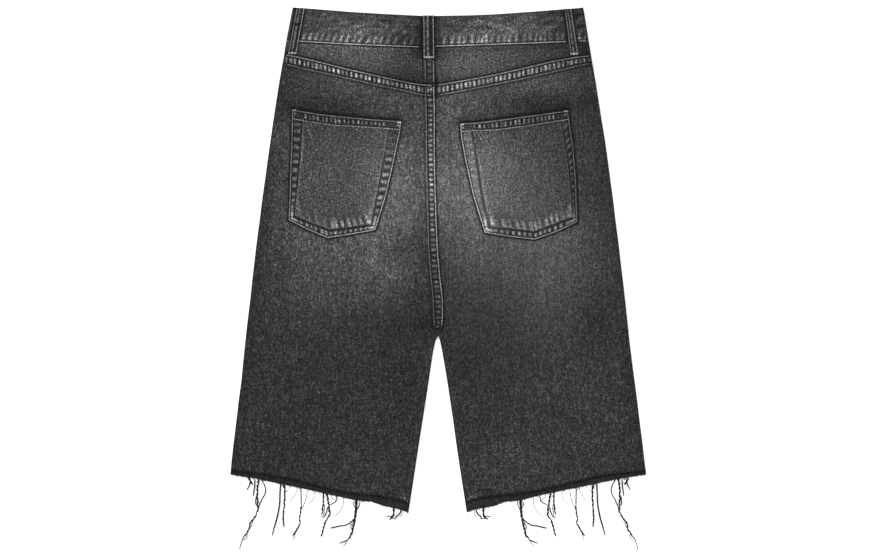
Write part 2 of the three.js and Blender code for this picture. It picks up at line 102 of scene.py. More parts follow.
# low edge of the back waistband, and its top edge
BAND_LOW = at([(284, 41.2), (299.3, 42.0), (343, 44.6), (390, 46.6), (423, 47.9), (435, 47.1), (480, 45.6),
               (530, 43.9), (566.9, 42.4), (592, 41.6)])
BAND_TOP = at([(292, 7.5), (305.6, 8.4), (328, 10.2), (350.4, 12.0), (387, 14.2), (423.8, 16.0), (440, 15.9),
               (470, 15.4), (496.6, 14.3), (531, 11.9), (565.7, 9.1), (585, 7.7)])
# cut edges of the hems: the back's, and the front's that shows below it
HEM_BACK = {
    "left": at([(229, 471.0), (258, 474.0), (283, 477.8), (306, 483.6), (330, 489.6), (353, 493.8), (370, 495.4),
                (382, 496.8), (396, 499.4), (411, 503.4)]),
    "right": at([(465, 501.6), (481, 498.2), (495, 496.2), (507, 495.2), (524, 493.4), (546, 489.4), (570.6, 483.4),
                 (594, 477.6), (618.6, 473.8), (648, 470.8)]),
}
HEM_FRONT = {
    "left": at([(229, 474.9), (257.9, 479.6), (281, 484.6), (306, 489.7), (330, 495.2), (351.1, 499.7), (361, 501.6),
                (372, 502.4), (378, 504.6), (384.6, 506.8), (391.3, 507.8), (398, 509.6), (404.7, 511.7),
                (409, 514.0)]),
    "right": at([(466, 513.6), (470, 511.5), (479, 509.2), (488, 507.4), (494, 506.6), (499, 504.6), (505, 502.2),
                 (515, 501.6), (525, 499.6), (546, 494.6), (571, 489.4), (596, 484.2), (619, 479.4), (648, 474.7)]),
}


for side_points in HEM_FRONT.values():
    side_points[:, 1] += 0.55
# distance between the two rows of stitches of each felled seam: u or v, pixels
YOKE_LINES = {
    "left": np.array([(284, 8.6), (292, 9.2), (305, 9.8), (320, 9.2), (336, 8.6), (382, 8.4), (402, 8.1), (415, 8.7),
                      (425, 9.9), (436, 10.3)]),
    "right": np.array([(435, 9.9), (442, 9.6), (465, 9.2), (490, 8.9), (530, 9.6), (552, 9.9), (572, 8.8),
                       (592, 7.3)]),
}
SEAT_LINES = np.array([(40, 8.4), (95, 8.2), (150, 7.8), (200, 7.8), (250, 8.5), (300, 9.0), (315, 8.7), (327, 7.2),
                       (336, 4.6)])


def yoke_width(x, side):
    u = np.asarray(x) / MM_PER_PX + U0
    return np.interp(u, YOKE_LINES[side][:, 0], YOKE_LINES[side][:, 1]) * MM_PER_PX + 2.6


def seat_width(y):
    v = V0 - np.asarray(y) / MM_PER_PX
    return np.interp(v, SEAT_LINES[:, 0], SEAT_LINES[:, 1]) * MM_PER_PX + 2.6


def interp(x, table, col=1):
    return np.interp(x, table[:, 0], table[:, col])


def side_x(y, side):
    return mx(np.interp(V0 - np.asarray(y) / MM_PER_PX, SIDES[:, 0], SIDES[:, 1 if side == "left" else 2]))


def fold_x(y):
    return mx(np.interp(V0 - np.asarray(y) / MM_PER_PX, FOLD[:, 0], FOLD[:, 1]))


def middle_x(y, side):
    v = V0 - np.asarray(y, float) / MM_PER_PX
    apart = np.interp(v, [256, 262, 271, 277, 318, 326], [0.25, 0.02, 0.02, 0.25, 0.25, 0.03])
    above = np.interp(v, FOLD[:, 0], FOLD[:, 1]) + (0.0 if side == "left" else apart)
    below = np.interp(v, INSEAMS[:, 0], INSEAMS[:, 1 if side == "left" else 2])
    return mx(np.where(v < 336, above, below))


def front_under(y):
    return interp(y, FRONT_HEIGHT)


def back_under(y):
    return interp(y, BACK_HEIGHT)


def back_top(y):
    return back_under(y) + DENIM


def side_meet(y):
    return (front_under(y) + back_top(y)) / 2


def rounded(d):
    return np.sqrt(np.clip(1 - (1 - np.clip(d / EDGE_ROUND, 0, 1)) ** 2, 0, 1))


def smooth(a, b, x):
    t = np.clip((np.asarray(x, float) - a) / (b - a), 0, 1)
    return t * t * (3 - 2 * t)


def bell(x, centre, width):
    return np.exp(-((np.asarray(x, float) - centre) / width) ** 2)


# ------------------------------------------------------------ noise and roping
def value_noise(x, y, cell_x, cell_y, seed):
    """Smooth noise from -1 to 1 on a lattice of its own."""
    grid = np.random.default_rng(seed).uniform(-1, 1, (128, 128))
    gx, gy = np.asarray(x) / cell_x + 37.3, np.asarray(y) / cell_y + 51.7
    ix, iy = np.floor(gx).astype(int), np.floor(gy).astype(int)
    fx, fy = gx - ix, gy - iy
    fx, fy = fx * fx * (3 - 2 * fx), fy * fy * (3 - 2 * fy)
    p = lambda a, b: grid[np.mod(a, 128), np.mod(b, 128)]
    low = p(ix, iy) * (1 - fx) + p(ix + 1, iy) * fx
    high = p(ix, iy + 1) * (1 - fx) + p(ix + 1, iy + 1) * fx
    return low * (1 - fy) + high * fy


class Ropes:
    """Uneven bars along a seam: a profile from 0, a gap, to 1, a crest."""

    def __init__(self, first, last, period, seed, jitter=0.16, fullness=0.27, weak=0.35, crests=None):
        rng = np.random.default_rng(seed)
        self.a = np.arange(first - 20, last + 20, 0.15)
        self.h = np.zeros_like(self.a)
        places = [] if crests is None else list(crests)
        c = first - 20
        while crests is None and c < last + 20:
            places.append(c)
            c += period * (1 + rng.uniform(-jitter, jitter))
        for c in places:
            tall = rng.uniform(1 - weak, 1.0)
            wide = period * fullness * rng.uniform(0.85, 1.15)
            self.h = np.maximum(self.h, tall * np.exp(-np.abs((self.a - c) / wide) ** 2.4))
            if rng.uniform() < 0.25:     # a crest split in two
                self.h *= 1 - 0.45 * np.exp(-((self.a - c) / (wide * 0.3)) ** 2)

    def __call__(self, a):
        return np.interp(a, self.a, self.h)


ROPE_SEAT = Ropes(-80, 260, 6.6, 11, 0.14, 0.30)
ROPE_YOKE = {"left": Ropes(-215, 10, 5.8, 12, 0.13, 0.29), "right": Ropes(-15, 215, 5.8, 13, 0.13, 0.29)}
# crests of the puckers above the waistband's low stitches, by u
PUCKERS = {
    "left": [302.5, 309, 315, 321, 327, 333, 340, 346, 353, 359, 367.5, 374, 379.5, 386.6, 394, 404, 410.5, 417],
    "right": [444.2, 451.7, 458.5, 464, 472, 478, 482, 485.8, 491.5, 498.2, 504.2, 509.5, 516.2, 523.7, 529.7, 535.7,
              540.4, 544.4, 550, 557.5, 562.2, 579, 586],
}
ROPE_BAND = {side: Ropes(-215, 215, 8.2, 14, fullness=0.27, crests=mx(PUCKERS[side])) for side in PUCKERS}
ROPE_YOKE_MIDDLE = Ropes(240, 300, 7.4, 16)
# rays of wear above the bottoms of the pockets, by u
RAYS = {
    "left": [302.5, 310.5, 318, 325.5, 333.2, 336.9, 343.3, 349.8, 355.8, 362.3, 369.3],
    "right": [492.8, 504.8, 511.3, 518.7, 524.3, 531.7, 536.8, 540.4, 547.7, 552.9, 558.1, 562.5, 568.8],
}


def fell(e, a, width, ropes, crest, trough):
    """A felled seam, e in from its folded edge and a along it: (height over
    the panel, how much paler or darker it is painted there). The bars are worn
    paler; the grooves along its rows and just past it are darker, partly
    unworn dye and partly painted shade."""
    inside = smooth(-0.3, 0.4, e) * (1 - smooth(width - 0.2, width + 1.2, e))
    body = smooth(3.0, 4.3, e) * (1 - smooth(width - 4.9, width - 3.6, e))
    rope = ropes(a)
    first, second = bell(e, 3.1, 0.95), bell(e, width - 3.0, 1.05)
    h = inside * (FELL_RISE - 0.40 * (first + second) + body * (0.70 * rope - 0.38))
    # darker grooves along both rows and just past the seam: partly unworn dye, partly painted shade; the bars between
    # are worn paler
    shade = (1 - 0.58 * inside * first) * (1 - 0.66 * inside * second)
    shade = shade * (1 + inside * body * (crest * rope - trough)) * (1 - 0.34 * bell(e, width + 1.2, 1.2))
    return h, shade


# ------------------------------------------------------------------- the fading, and some painted shade
# Fading from wear: centre u, v, half widths, and how much paler (0 to 255 on
# the display) than the unfaded cloth.
WASH = [
    (398, 188, 46, 66, 34), (352, 178, 60, 70, 26), (300, 200, 34, 90, 14),
    (474, 176, 40, 62, 45), (522, 200, 52, 70, 22), (556, 262, 44, 62, 24), (600, 300, 40, 120, 6),
    (340, 262, 70, 52, 17), (392, 258, 26, 40, 16), (470, 240, 24, 40, 10), (545, 400, 70, 110, 6),
    (350, 60, 50, 34, 30), (330, 30, 60, 22, 26), (470, 62, 46, 36, 36), (510, 28, 60, 26, 26),
    (402, 100, 40, 22, 12), (446, 108, 26, 24, 16), (300, 30, 20, 30, 8),
    (482, 262, 56, 46, 11), (548, 72, 46, 20, 16), (566, 122, 44, 40, 7), (396, 148, 22, 20, 7), (436, 195, 16, 60, 10),
    (504, 150, 50, 34, 5), (384, 57, 26, 12, 6), (434, 30, 18, 14, 7), (276, 128, 12, 20, 6), (340, 292, 50, 26, 5),
    (512, 466, 56, 20, 6), (528, 85, 26, 9, 7), (348, 83, 18, 9, 6), (322, 176, 16, 16, 6), (590, 140, 12, 26, 6),
    (447, 200, 11, 16, 6), (277, 130, 10, 18, 4), (500, 24, 70, 12, 4), (360, 22, 60, 10, 4), (228, 280, 20, 60, 4), (470, 310, 40, 30, 3), (372, 78, 22, 10, 5), (550, 84, 40, 10, 8), (366, 468, 34, 16, 4), (243, 432, 14, 46, 3), (586, 40, 20, 22, 5), (300, 60, 24, 10, 3),
]
UNFADED = 51.0
# Darker patches: darker dye, and painted shade beside the middle belt loop under the waistband and just above the tops
# of the pockets.
DARKER_DYE_AND_SHADE = [(432, 84, 16, 9, 10), (398, 250, 12, 12, 6), (433, 256, 16, 28, 6), (589, 57, 10, 9, 7), (300, 38, 12, 10, 6),
          (592, 318, 22, 34, 13), (408, 78, 24, 12, 7), (396, 250, 14, 12, 10), (424, 235, 14, 26, 9),
          (308, 28, 16, 16, 9), (424, 110, 16, 20, 6), (306, 206, 20, 22, 5), (444, 110, 12, 20, 4), (350, 182, 34, 34, 12), (396, 248, 18, 14, 12), (404, 82, 26, 13, 10),
          (324, 32, 14, 12, 8), (492, 56, 20, 10, 5), (392, 205, 18, 16, 6), (376, 222, 20, 12, 4),
          (414, 44, 16, 12, 16), (575, 50, 24, 22, 5), (296, 92, 34, 20, 5), (432, 312, 18, 40, 7),
          (590, 110, 20, 60, 6), (330, 106, 50, 9, 12), (540, 104, 46, 9, 10), (405, 320, 30, 14, 6)]


def wash_and_shade(x, y):
    """Brightness of the cloth on the display, 0 to 255: the faded dye, less in darker patches, some of which are
    painted shade.
    """
    u, v = np.asarray(x) / MM_PER_PX + U0, V0 - np.asarray(y) / MM_PER_PX
    level = np.full(np.shape(u), UNFADED)
    for cu, cv, ru, rv, gain in WASH:
        level = level + gain * np.exp(-((u - cu) / ru) ** 2 - ((v - cv) / rv) ** 2)
    for cu, cv, ru, rv, loss in DARKER_DYE_AND_SHADE:
        level = level - loss * np.exp(-((u - cu) / ru) ** 2 - ((v - cv) / rv) ** 2)
    level = level + 2.0 * value_noise(x, y, 46, 60, 21) + 1.1 * value_noise(x, y, 13, 26, 22)
    return level + (level - 46) * 0.09 * value_noise(x, y, 3.0, 19, 23)


# How strong the speckle of the cloth is: 1 on the legs, more over the left
# seat, less on the right half.
SPECKLE = [(390, 190, 60, 80, -0.16), (480, 180, 40, 90, -0.14), (545, 240, 90, 120, -0.30), (500, 330, 60, 70, -0.14),
           (340, 30, 70, 26, -0.06), (510, 40, 70, 26, -0.02), (345, 165, 45, 60, 0.06), (520, 165, 50, 60, 0.16),
           (350, 300, 90, 60, -0.08)]


def speckle_at(x, y):
    u, v = np.asarray(x) / MM_PER_PX + U0, V0 - np.asarray(y) / MM_PER_PX
    k = np.ones(np.shape(u))
    for cu, cv, ru, rv, gain in SPECKLE:
        k = k + gain * np.exp(-((u - cu) / ru) ** 2 - ((v - cv) / rv) ** 2)
    return np.clip(k, 0.35, 1.4)


# Strokes of wear and of shadow: from u, v to u, v, half width in pixels, and
# how much paler or, below 0, darker. Each is a low ridge or trough as well.
MARKS = [
    # right side seam
    (589, 67, 593, 84, 1.3, 26), (593, 84, 597, 98, 1.1, 22), (598, 103, 601, 119, 1.2, 32),
    (602, 123, 604.5, 138, 1.0, 16), (586, 70, 589, 82, 1.8, 12), (595, 128, 599, 150, 3.0, 8),
    # waistband, right of its last loop
    (586, 28, 588.4, 37, 1.7, 46), (577, 33, 582, 31, 1.4, 22), (576, 22, 583, 17, 1.3, 24),
    (579, 40, 586, 38, 1.3, 26), (577, 28, 585, 25, 1.1, -26), (577, 36.5, 584, 35, 1.1, -26),
    (576, 17, 582, 12, 1.1, -22), (583, 22, 588, 24, 1.0, -20), (581, 13, 585, 16, 1.0, 16),
    # waistband, left of its first loop
    (291.5, 16, 289.5, 30, 1.6, 14), (288.5, 34, 286.6, 44, 1.3, 18), (290.4, 31, 288.8, 33, 1.2, -20),
    # left pocket: corners, rays over the low stitches, the pale inner edges
    (291.6, 204, 291.4, 217, 1.3, 34), (292.4, 213, 292.6, 219, 1.2, 36), (296.4, 198, 297.4, 212, 1.4, 26),
    (299.6, 205, 299.9, 216, 1.3, 26), (303.5, 210, 303.8, 217, 1.0, 12), (309.2, 213, 309.6, 220, 1.0, 18),
    (315.6, 213, 316.0, 222, 1.0, 22), (320.0, 215, 320.4, 224, 1.1, 18), (325.8, 216, 326.2, 226, 1.0, 14),
    (333.2, 218, 332.8, 227, 1.1, 40), (335.6, 219, 336.8, 227, 1.2, 40), (341.2, 219, 343.4, 226, 1.2, 32),
    (349.0, 219, 350.6, 226, 1.2, 34), (355.4, 219, 355.8, 225, 1.0, 28), (359.4, 217, 361.4, 224, 1.2, 34),
    (365.2, 215, 366.4, 223, 1.2, 44), (370.4, 210, 369.4, 223, 1.6, 66), (375.0, 219, 373.2, 228, 1.3, 56),
    (302.6, 136, 301.4, 160, 0.9, 34), (301.4, 160, 299.8, 176, 1.0, 20), (299.6, 178, 298.4, 192, 1.2, 16),
    (387.0, 134, 385.4, 152, 0.9, 30), (379.0, 176, 375.4, 196, 1.0, 24), (374.4, 198, 372.4, 212, 1.1, 26),
    (305, 128, 310, 140, 0.9, -12), (309, 128, 316, 142, 0.9, -11), (314, 128, 320, 137, 0.9, -10),
    (306, 142, 311, 153, 0.9, -9), (308, 130, 312, 138, 0.9, 9), (366, 160, 372, 178, 3.2, 6),
    (330, 190, 331, 206, 3.0, 5), (318, 160, 326, 200, 5.0, -5), (352, 130, 364, 146, 3.0, -4),
    # right pocket
    (485.2, 218, 487.6, 231, 1.6, 52), (484.6, 214, 486.0, 222, 1.2, 40), (491.6, 217, 493.0, 226, 1.8, 66),
    (494.8, 220, 496.0, 227, 1.4, 46), (497.8, 221, 498.4, 227, 1.0, 30), (502.2, 221, 503.0, 228, 1.0, 30),
    (506.2, 221, 506.8, 228, 1.0, 26), (514.2, 222, 515.0, 229, 1.0, 28), (519.6, 224, 520.2, 229, 0.9, 18),
    (524.6, 223, 525.2, 230, 1.1, 32), (531.4, 221, 532.6, 230, 1.5, 46), (535.4, 222, 536.4, 229, 1.1, 34),
    (539.6, 218, 541.4, 227, 1.3, 44), (546.8, 217, 547.6, 224, 1.0, 32), (551.8, 214, 552.4, 222, 1.1, 38),
    (557.0, 212, 557.8, 220, 1.1, 34), (562.4, 211, 564.6, 218, 1.4, 46), (569.6, 206, 570.8, 216, 1.6, 70),
    (474.2, 138, 478.4, 160, 1.0, 16), (478.8, 160, 484.4, 192, 1.2, 20), (485.0, 196, 489.4, 214, 1.5, 26),
    (476, 134, 482, 146, 0.9, -12), (480, 134, 486, 148, 0.9, -10), (478, 148, 484, 160, 0.9, -9),
    (545, 190, 546, 212, 2.2, 7), (551, 170, 553, 196, 2.4, 6), (498, 140, 520, 150, 4.0, -5),
    (530, 205, 534, 222, 3.0, 8), (510, 205, 512, 220, 2.5, 5),
    # where the seams cross in the middle
    (436.4, 79, 436.4, 96, 1.1, -40), (427.4, 87, 432.6, 87.6, 0.9, 30), (425.4, 91.0, 432.0, 91.4, 0.8, -26),
    (428.0, 89.4, 431.0, 89.6, 0.9, 22), (424.0, 83, 424.4, 96, 0.9, -24),
    # crotch
    (441.0, 306, 441.4, 309, 1.1, 34), (439.6, 311.6, 441.6, 312.2, 1.0, 22), (441.6, 317, 441.4, 319, 1.0, 34),
    (440.6, 322.4, 441.0, 325, 0.9, 22), (432.6, 296, 433.8, 318, 1.0, 14), (429.6, 302, 431.6, 322, 1.0, -10),
    (426.8, 300, 429.2, 318, 1.2, 7), (420.0, 316, 423.4, 322, 0.9, 8), (418, 318, 424, 326, 0.9, -9),
    (419, 328.6, 428, 328.6, 0.7, -10), (419, 330.8, 428, 331, 0.7, 9), (419, 333.2, 427, 333.4, 0.7, -10),
    # long pale lines of wear below the seat
    (356, 240, 352, 262, 3.2, 6), (372, 236, 374, 268, 3.6, 9), (388, 232, 394, 262, 3.4, 8),
    (344, 246, 340, 270, 3.0, 5), (328, 246, 322, 262, 2.8, 4), (404, 228, 404, 250, 2.6, 6),
    (398, 244, 399, 252, 2.0, 9), (512, 246, 508, 286, 3.2, 5), (528, 248, 527, 280, 3.0, 4),
    (558, 240, 562, 262, 3.6, 8), (546, 246, 548, 280, 3.0, 5), (574, 236, 580, 270, 3.6, 5),
    (470, 150, 474, 186, 5.0, 7), (452, 176, 454, 214, 3.2, -6), (448, 120, 452, 150, 4.0, -5),
    (404, 138, 400, 170, 3.4, 6), (416, 150, 418, 188, 2.6, -8), (408, 180, 404, 222, 3.6, 5),
    (420, 236, 424, 272, 3.0, -7),
    # hem by the inseams
    (400.6, 489.5, 404, 494, 0.75, 36), (400.6, 496.6, 401.8, 500.4, 0.75, 40), (403.8, 497.2, 407.6, 501.6, 0.9, 74),
    (396.5, 493.5, 399.0, 497.0, 0.6, 20), (393.0, 497.6, 396.0, 499.8, 0.6, 16),
    (467.4, 500.2, 472.4, 495.8, 0.9, 60), (475.4, 499, 475.8, 495.4, 0.8, 44), (472.6, 491.2, 476.4, 489.8, 0.7, 22),
    (468.8, 493.8, 472.2, 491.8, 0.7, 26), (478.6, 497.4, 480.6, 494.4, 0.6, 20),
    (484, 486.6, 498, 489.4, 0.8, 13), (490, 484.2, 506, 487.6, 0.8, 12), (492, 489.0, 509, 491.4, 0.8, 12),
    (486, 488.6, 500, 491.6, 0.8, -10), (492, 486.4, 508, 489.6, 0.8, -10), (496, 482.4, 512, 485.0, 0.8, 8),
    (400, 470, 388, 474, 0.8, 9), (402, 474, 390, 478, 0.8, -8), (404, 482, 394, 486, 0.8, 9),
    (382, 486, 372, 489, 0.8, 8), (398, 478.6, 386, 482, 0.8, 8),
]


def marks(x, y, table=MARKS):
    """(brightness, height in mm) of the strokes."""
    u, v = np.asarray(x) / MM_PER_PX + U0, V0 - np.asarray(y) / MM_PER_PX
    level, h = np.zeros(np.shape(u)), np.zeros(np.shape(u))
    for u0, v0, u1, v1, half, gain in table:
        near = (u > min(u0, u1) - 3 * half) & (u < max(u0, u1) + 3 * half) \
            & (v > min(v0, v1) - 3 * half) & (v < max(v0, v1) + 3 * half)
        if not near.any():
            continue
        pu, pv = u[near], v[near]
        length = math.hypot(u1 - u0, v1 - v0)
        dx, dy = (u1 - u0) / length, (v1 - v0) / length
        s = (pu - u0) * dx + (pv - v0) * dy
        d = (pu - u0) * -dy + (pv - v0) * dx
        over = np.maximum(0, np.maximum(-s, s - length))
        k = np.exp(-(d / half) ** 2 - (over / (half * 1.3)) ** 2) * (0.75 + 0.25 * np.cos(s * 1.7 + u0))
        level[near] += gain * k
        h[near] += np.clip(gain, -30, 40) * 0.006 * k
    return level, h


# Creases across the waistband, as above.
BAND_CREASES = [
    (360.5, 40.4, 372.5, 28.4, 1.2, 24), (372.5, 40.4, 377, 33.5, 1.1, 22), (350.7, 27.6, 363, 24.4, 1.0, 20),
    (363, 24.4, 376, 22.4, 1.0, 18), (359.7, 32.2, 372, 30.0, 1.0, 18), (372, 30.0, 384, 29.4, 1.0, 18),
    (379, 22.5, 387, 24.8, 1.0, 18), (359.7, 15.8, 381, 18.8, 1.1, 12), (340.0, 35.0, 352.0, 30.0, 1.1, 18),
    (352.0, 30.0, 366.0, 23.4, 1.0, 16), (386, 27.0, 400, 25.2, 1.1, 16), (390, 33.4, 398, 29.0, 1.1, 18),
    (330, 24.6, 346, 22.8, 1.1, 14), (318, 20.6, 334, 19.2, 1.1, 12), (309, 29.0, 322, 27.0, 1.0, 12),
    (396, 20.6, 412, 19.8, 1.0, 12), (324, 30.2, 336, 28.6, 1.0, 14), (404, 33.8, 412, 31.4, 1.0, 12),
    (352, 36.4, 360, 30.6, 1.1, 16), (343, 18.0, 356, 17.2, 1.0, 10), (376, 14.8 + 2, 392, 18.2, 1.0, 10),
    (366, 27.2, 380, 26.0, 0.9, -20), (354, 33.6, 362, 27.8, 0.9, -18), (380, 20.0, 396, 22.2, 0.9, -16),
    (332, 27.4, 348, 26.0, 0.9, -16), (366, 34.8, 373, 26.6, 0.9, -20), (384, 31.4, 394, 27.0, 0.9, -18),
    (312, 24.6, 328, 23.4, 0.9, -14), (396, 28.6, 408, 27.4, 0.9, -14), (338, 20.8, 352, 19.8, 0.9, -10),
    (398, 36.0, 402, 31.0, 1.0, -14), (306, 33.0, 318, 31.6, 0.9, -12),
    # right of the middle loop
    (441, 33.6, 446, 32.0, 0.9, 24), (448, 27.8, 460, 28.4, 1.0, 16), (460, 22.4, 475, 24.0, 1.0, 14),
    (482, 32.6, 490, 31.4, 0.9, 24), (478, 20.8, 496, 25.0, 1.1, 14), (498, 26.4, 508, 24.0, 1.0, 14),
    (508, 33.2, 514, 31.8, 0.9, 22), (514, 17.0, 520, 14.4, 1.1, 14), (500, 30.0, 514, 28.8, 1.0, 14),
    (520, 26.8, 534, 24.4, 1.0, 16), (536, 22.4, 548, 18.6, 1.1, 14), (524, 20.4, 536, 18.0, 1.0, 12),
    (546, 28.0, 556, 26.2, 1.0, 16), (552, 20.4, 562, 17.6, 1.0, 12), (466, 33.2, 474, 31.4, 0.9, 20),
    (538, 33.8, 544, 27.8, 1.0, 24), (528, 33.6, 532, 28.8, 1.0, 16), (452, 19.6, 466, 19.0, 1.0, 10),
    (444, 24.4, 456, 24.8, 0.9, -16), (464, 26.4, 480, 28.4, 1.0, -20), (484, 27.8, 498, 28.8, 1.0, -18),
    (478, 17.8, 494, 21.6, 0.9, -12), (502, 22.2, 514, 20.0, 0.9, -14), (512, 29.8, 526, 28.4, 0.9, -16),
    (526, 23.4, 540, 20.4, 0.9, -14), (540, 25.4, 552, 22.8, 0.9, -16), (556, 24.2, 563, 22.4, 0.9, -14),
    (446, 30.6, 458, 31.2, 0.9, -18), (494, 33.0, 504, 31.4, 0.9, -14), (556, 31.4, 562, 28.6, 0.9, -14),
]


LIGHT = 1.28        # how bright a white card on the garment would be


def dye(level):
    """Reflectance of cloth that looks that bright."""
    return np.clip((np.clip(level, 2, 255) / 255.0) ** 2.2 / LIGHT, 0.004, 0.9)


# ---------------------------------------------------------------- form of back
# Soft creases: from u, v to u, v, half width and height in mm
# (a height below 0 is a trough).
CREASES = [
    (437, 330, 404, 306, 5.0, -0.45), (436, 338, 398, 330, 6.0, 0.40), (430, 350, 392, 352, 5.0, -0.30),
    (441, 332, 476, 314, 5.5, -0.40), (442, 340, 486, 338, 6.5, 0.38), (447, 356, 490, 362, 5.0, -0.28),
    (410, 452, 360, 470, 5.0, 0.30), (408, 470, 352, 486, 4.5, -0.32), (398, 486, 350, 479, 3.6, 0.30),
    (463, 470, 520, 476, 4.2, 0.38), (466, 480, 530, 484, 3.6, -0.36), (468, 488, 536, 490, 3.0, 0.34),
    (300, 260, 330, 330, 12.0, 0.32), (560, 250, 548, 330, 13.0, 0.34), (350, 300, 372, 420, 14.0, -0.28),
    (520, 300, 500, 420, 14.0, -0.28), (280, 360, 300, 460, 16.0, 0.30), (600, 340, 590, 450, 16.0, 0.30),
]


def crease_height(x, y):
    h = np.zeros(np.shape(x))
    for u0, v0, u1, v1, half, tall in CREASES:
        (x0, y0), (x1, y1) = at([(u0, v0), (u1, v1)])
        length = math.hypot(x1 - x0, y1 - y0)
        dx, dy = (x1 - x0) / length, (y1 - y0) / length
        s = (x - x0) * dx + (y - y0) * dy
        bow = 0.08 * length * np.sin(np.clip(s / length, 0, 1) * math.pi)
        d = (x - x0) * -dy + (y - y0) * dx - bow
        fade = smooth(-half, half * 1.5, s) * (1 - smooth(length - half * 2.0, length + half, s))
        h = h + tall * fade * np.exp(-(d / half) ** 2)
    return h


def waves(x, y):
    return 0.22 * value_noise(x, y, 34, 60, 31) + 0.10 * value_noise(x, y, 13, 24, 32)


def back_form(x, y, side):
    """Top of a back leg panel: (height, shade), from its seams and waves."""
    edge = YOKE_EDGE[side]
    e_yoke = (interp(x, edge) - y) * 0.975
    e_seat = fold_x(y) - x
    deep = bell(x, mx(408), 46) if side == "left" else bell(x, mx(560), 40) * 0.5
    yoke_h, yoke_s = fell(e_yoke, x * 1.02, yoke_width(x, side), ROPE_YOKE[side], 2.25 + 1.1 * deep, 0.66 + 0.06 * deep)
    shade = yoke_s
    z = back_top(y) + yoke_h
    away = smooth(12, 26, e_yoke)
    if side == "left":
        crotch = my(336)
        taper = smooth(crotch, crotch + 12, y)
        seat_h, seat_s = fell(e_seat, y, seat_width(y), ROPE_SEAT, 1.6, 0.52)
        over = np.maximum(yoke_h, seat_h * taper)
        z = back_top(y) + over + 0.30 * np.minimum(yoke_h, seat_h * taper)
        shade = yoke_s * (1 + (seat_s - 1) * taper)
        away = away * smooth(13, 25, e_seat)
    else:
        # the other leg's folded edge stands over this one: a painted shadow line
        shade = shade * (1 - 0.62 * smooth(my(338), my(328), y) * bell(e_seat, -0.3, 1.35))
        away = away * smooth(2, 14, -e_seat)
    z = z + away * (waves(x, y) + crease_height(x, y))
    return z, shade


def pocket_shadow(x, y):
    """A dark line on the panel just outside each pocket, wider above it."""
    shade = np.ones(np.shape(x))
    for name in POCKETS:
        p = POCKETS[name]
        d = outline_distance(x, y, p["loop"])
        shade = shade * (1 - 0.60 * np.where(d < 0, bell(d, -0.6, 1.5), bell(d, 0, 6)))
        above = y - np.interp(x, p["top"][:, 0], p["top"][:, 1])
        across = smooth(p["top"][0, 0] - 8, p["top"][0, 0] + 4, x) * (1 - smooth(p["top"][-1, 0] - 4,
                                                                                 p["top"][-1, 0] + 8, x))
        shade = shade * (1 - across * np.where(above > 0, 0.36 * bell(above, 1.5, 2.6) + 0.20 * bell(above, 0, 12), 0))
    return shade


def outline_distance(x, y, loop):
    """Distance in from a closed outline, below 0 outside it."""
    x, y = np.asarray(x, float), np.asarray(y, float)
    best = np.full(x.shape, 1e9)
    inside = np.zeros(x.shape, bool)
    n = len(loop)
    for i in range(n):
        (ax, ay), (bx, by) = loop[i], loop[(i + 1) % n]
        dx, dy = bx - ax, by - ay
        t = np.clip(((x - ax) * dx + (y - ay) * dy) / (dx * dx + dy * dy + 1e-9), 0, 1)
        best = np.minimum(best, np.hypot(x - ax - t * dx, y - ay - t * dy))
        if abs(dy) > 1e-9:
            cross = (ay > y) != (by > y)
            inside ^= cross & (x < (bx - ax) * (y - ay) / dy + ax)
    return np.where(inside, best, -best)


# -------------------------------------------------------------------- pockets
# Lines of each patch pocket, as (u, v): its four sides, and the second row of
# stitches inside each.
POCKETS = {
    "left": {
        "top": at([(291.9, 109.2), (318, 113.6), (342.2, 116.4), (370, 118.9), (401.6, 121.2)]),
        "left": at([(291.9, 109.2), (291.4, 130), (290.4, 160), (289.4, 190), (288.3, 220.1)]),
        "right": at([(401.6, 121.2), (400.6, 131), (392.6, 168.8), (385.8, 198), (375.7, 230.3)]),
        "low": at([(288.3, 220.1), (307.5, 229.8), (327.3, 238.4), (351, 234.7), (375.7, 230.3)]),
        "top_in": at([(291.9, 118.4), (305.7, 121.2), (332.4, 125.0), (383.3, 128.2), (400.4, 129.6)]),
        "left_in": at([(303.4, 118), (302.6, 135), (300.9, 160), (299.6, 173), (297.2, 195), (295.2, 216.5)]),
        "right_in": at([(388.4, 125), (387.4, 132), (383.0, 159), (377.0, 190), (372.5, 213), (371.2, 225)]),
        "low_in": at([(294.9, 216.0), (312, 223.2), (329.4, 229.6), (350, 227.2), (371.4, 224.2)]),
    },
    "right": {
        "top": at([(459.8, 123.3), (476, 122.5), (491.7, 120.6), (524.9, 116.2), (568.4, 110.2)]),
        "left": at([(459.8, 123.3), (460.8, 138), (465.0, 160.9), (472.9, 195.8), (484.3, 232.9)]),
        "right": at([(568.4, 110.2), (570.0, 124.2), (573.7, 146.9), (576.3, 180.1), (577.6, 222.2)]),
        "low": at([(484.3, 232.9), (509, 236.9), (534.6, 239.9), (556, 232.3), (577.6, 222.2)]),
        "top_in": at([(461.2, 131.6), (471.6, 130.4), (492.6, 130.2), (524.9, 126.2), (558, 120.9), (568.8, 119.3)]),
        "left_in": at([(472.8, 128), (474.4, 140), (477.9, 161), (483.2, 197.6), (489.7, 226)]),
        "right_in": at([(560.0, 120), (561.6, 131), (566.0, 154), (568.9, 179), (570.6, 203), (572.0, 217)]),
        "low_in": at([(489.9, 226), (512, 228.8), (534.5, 231.3), (553, 224.6), (572.0, 216.8)]),
    },
}
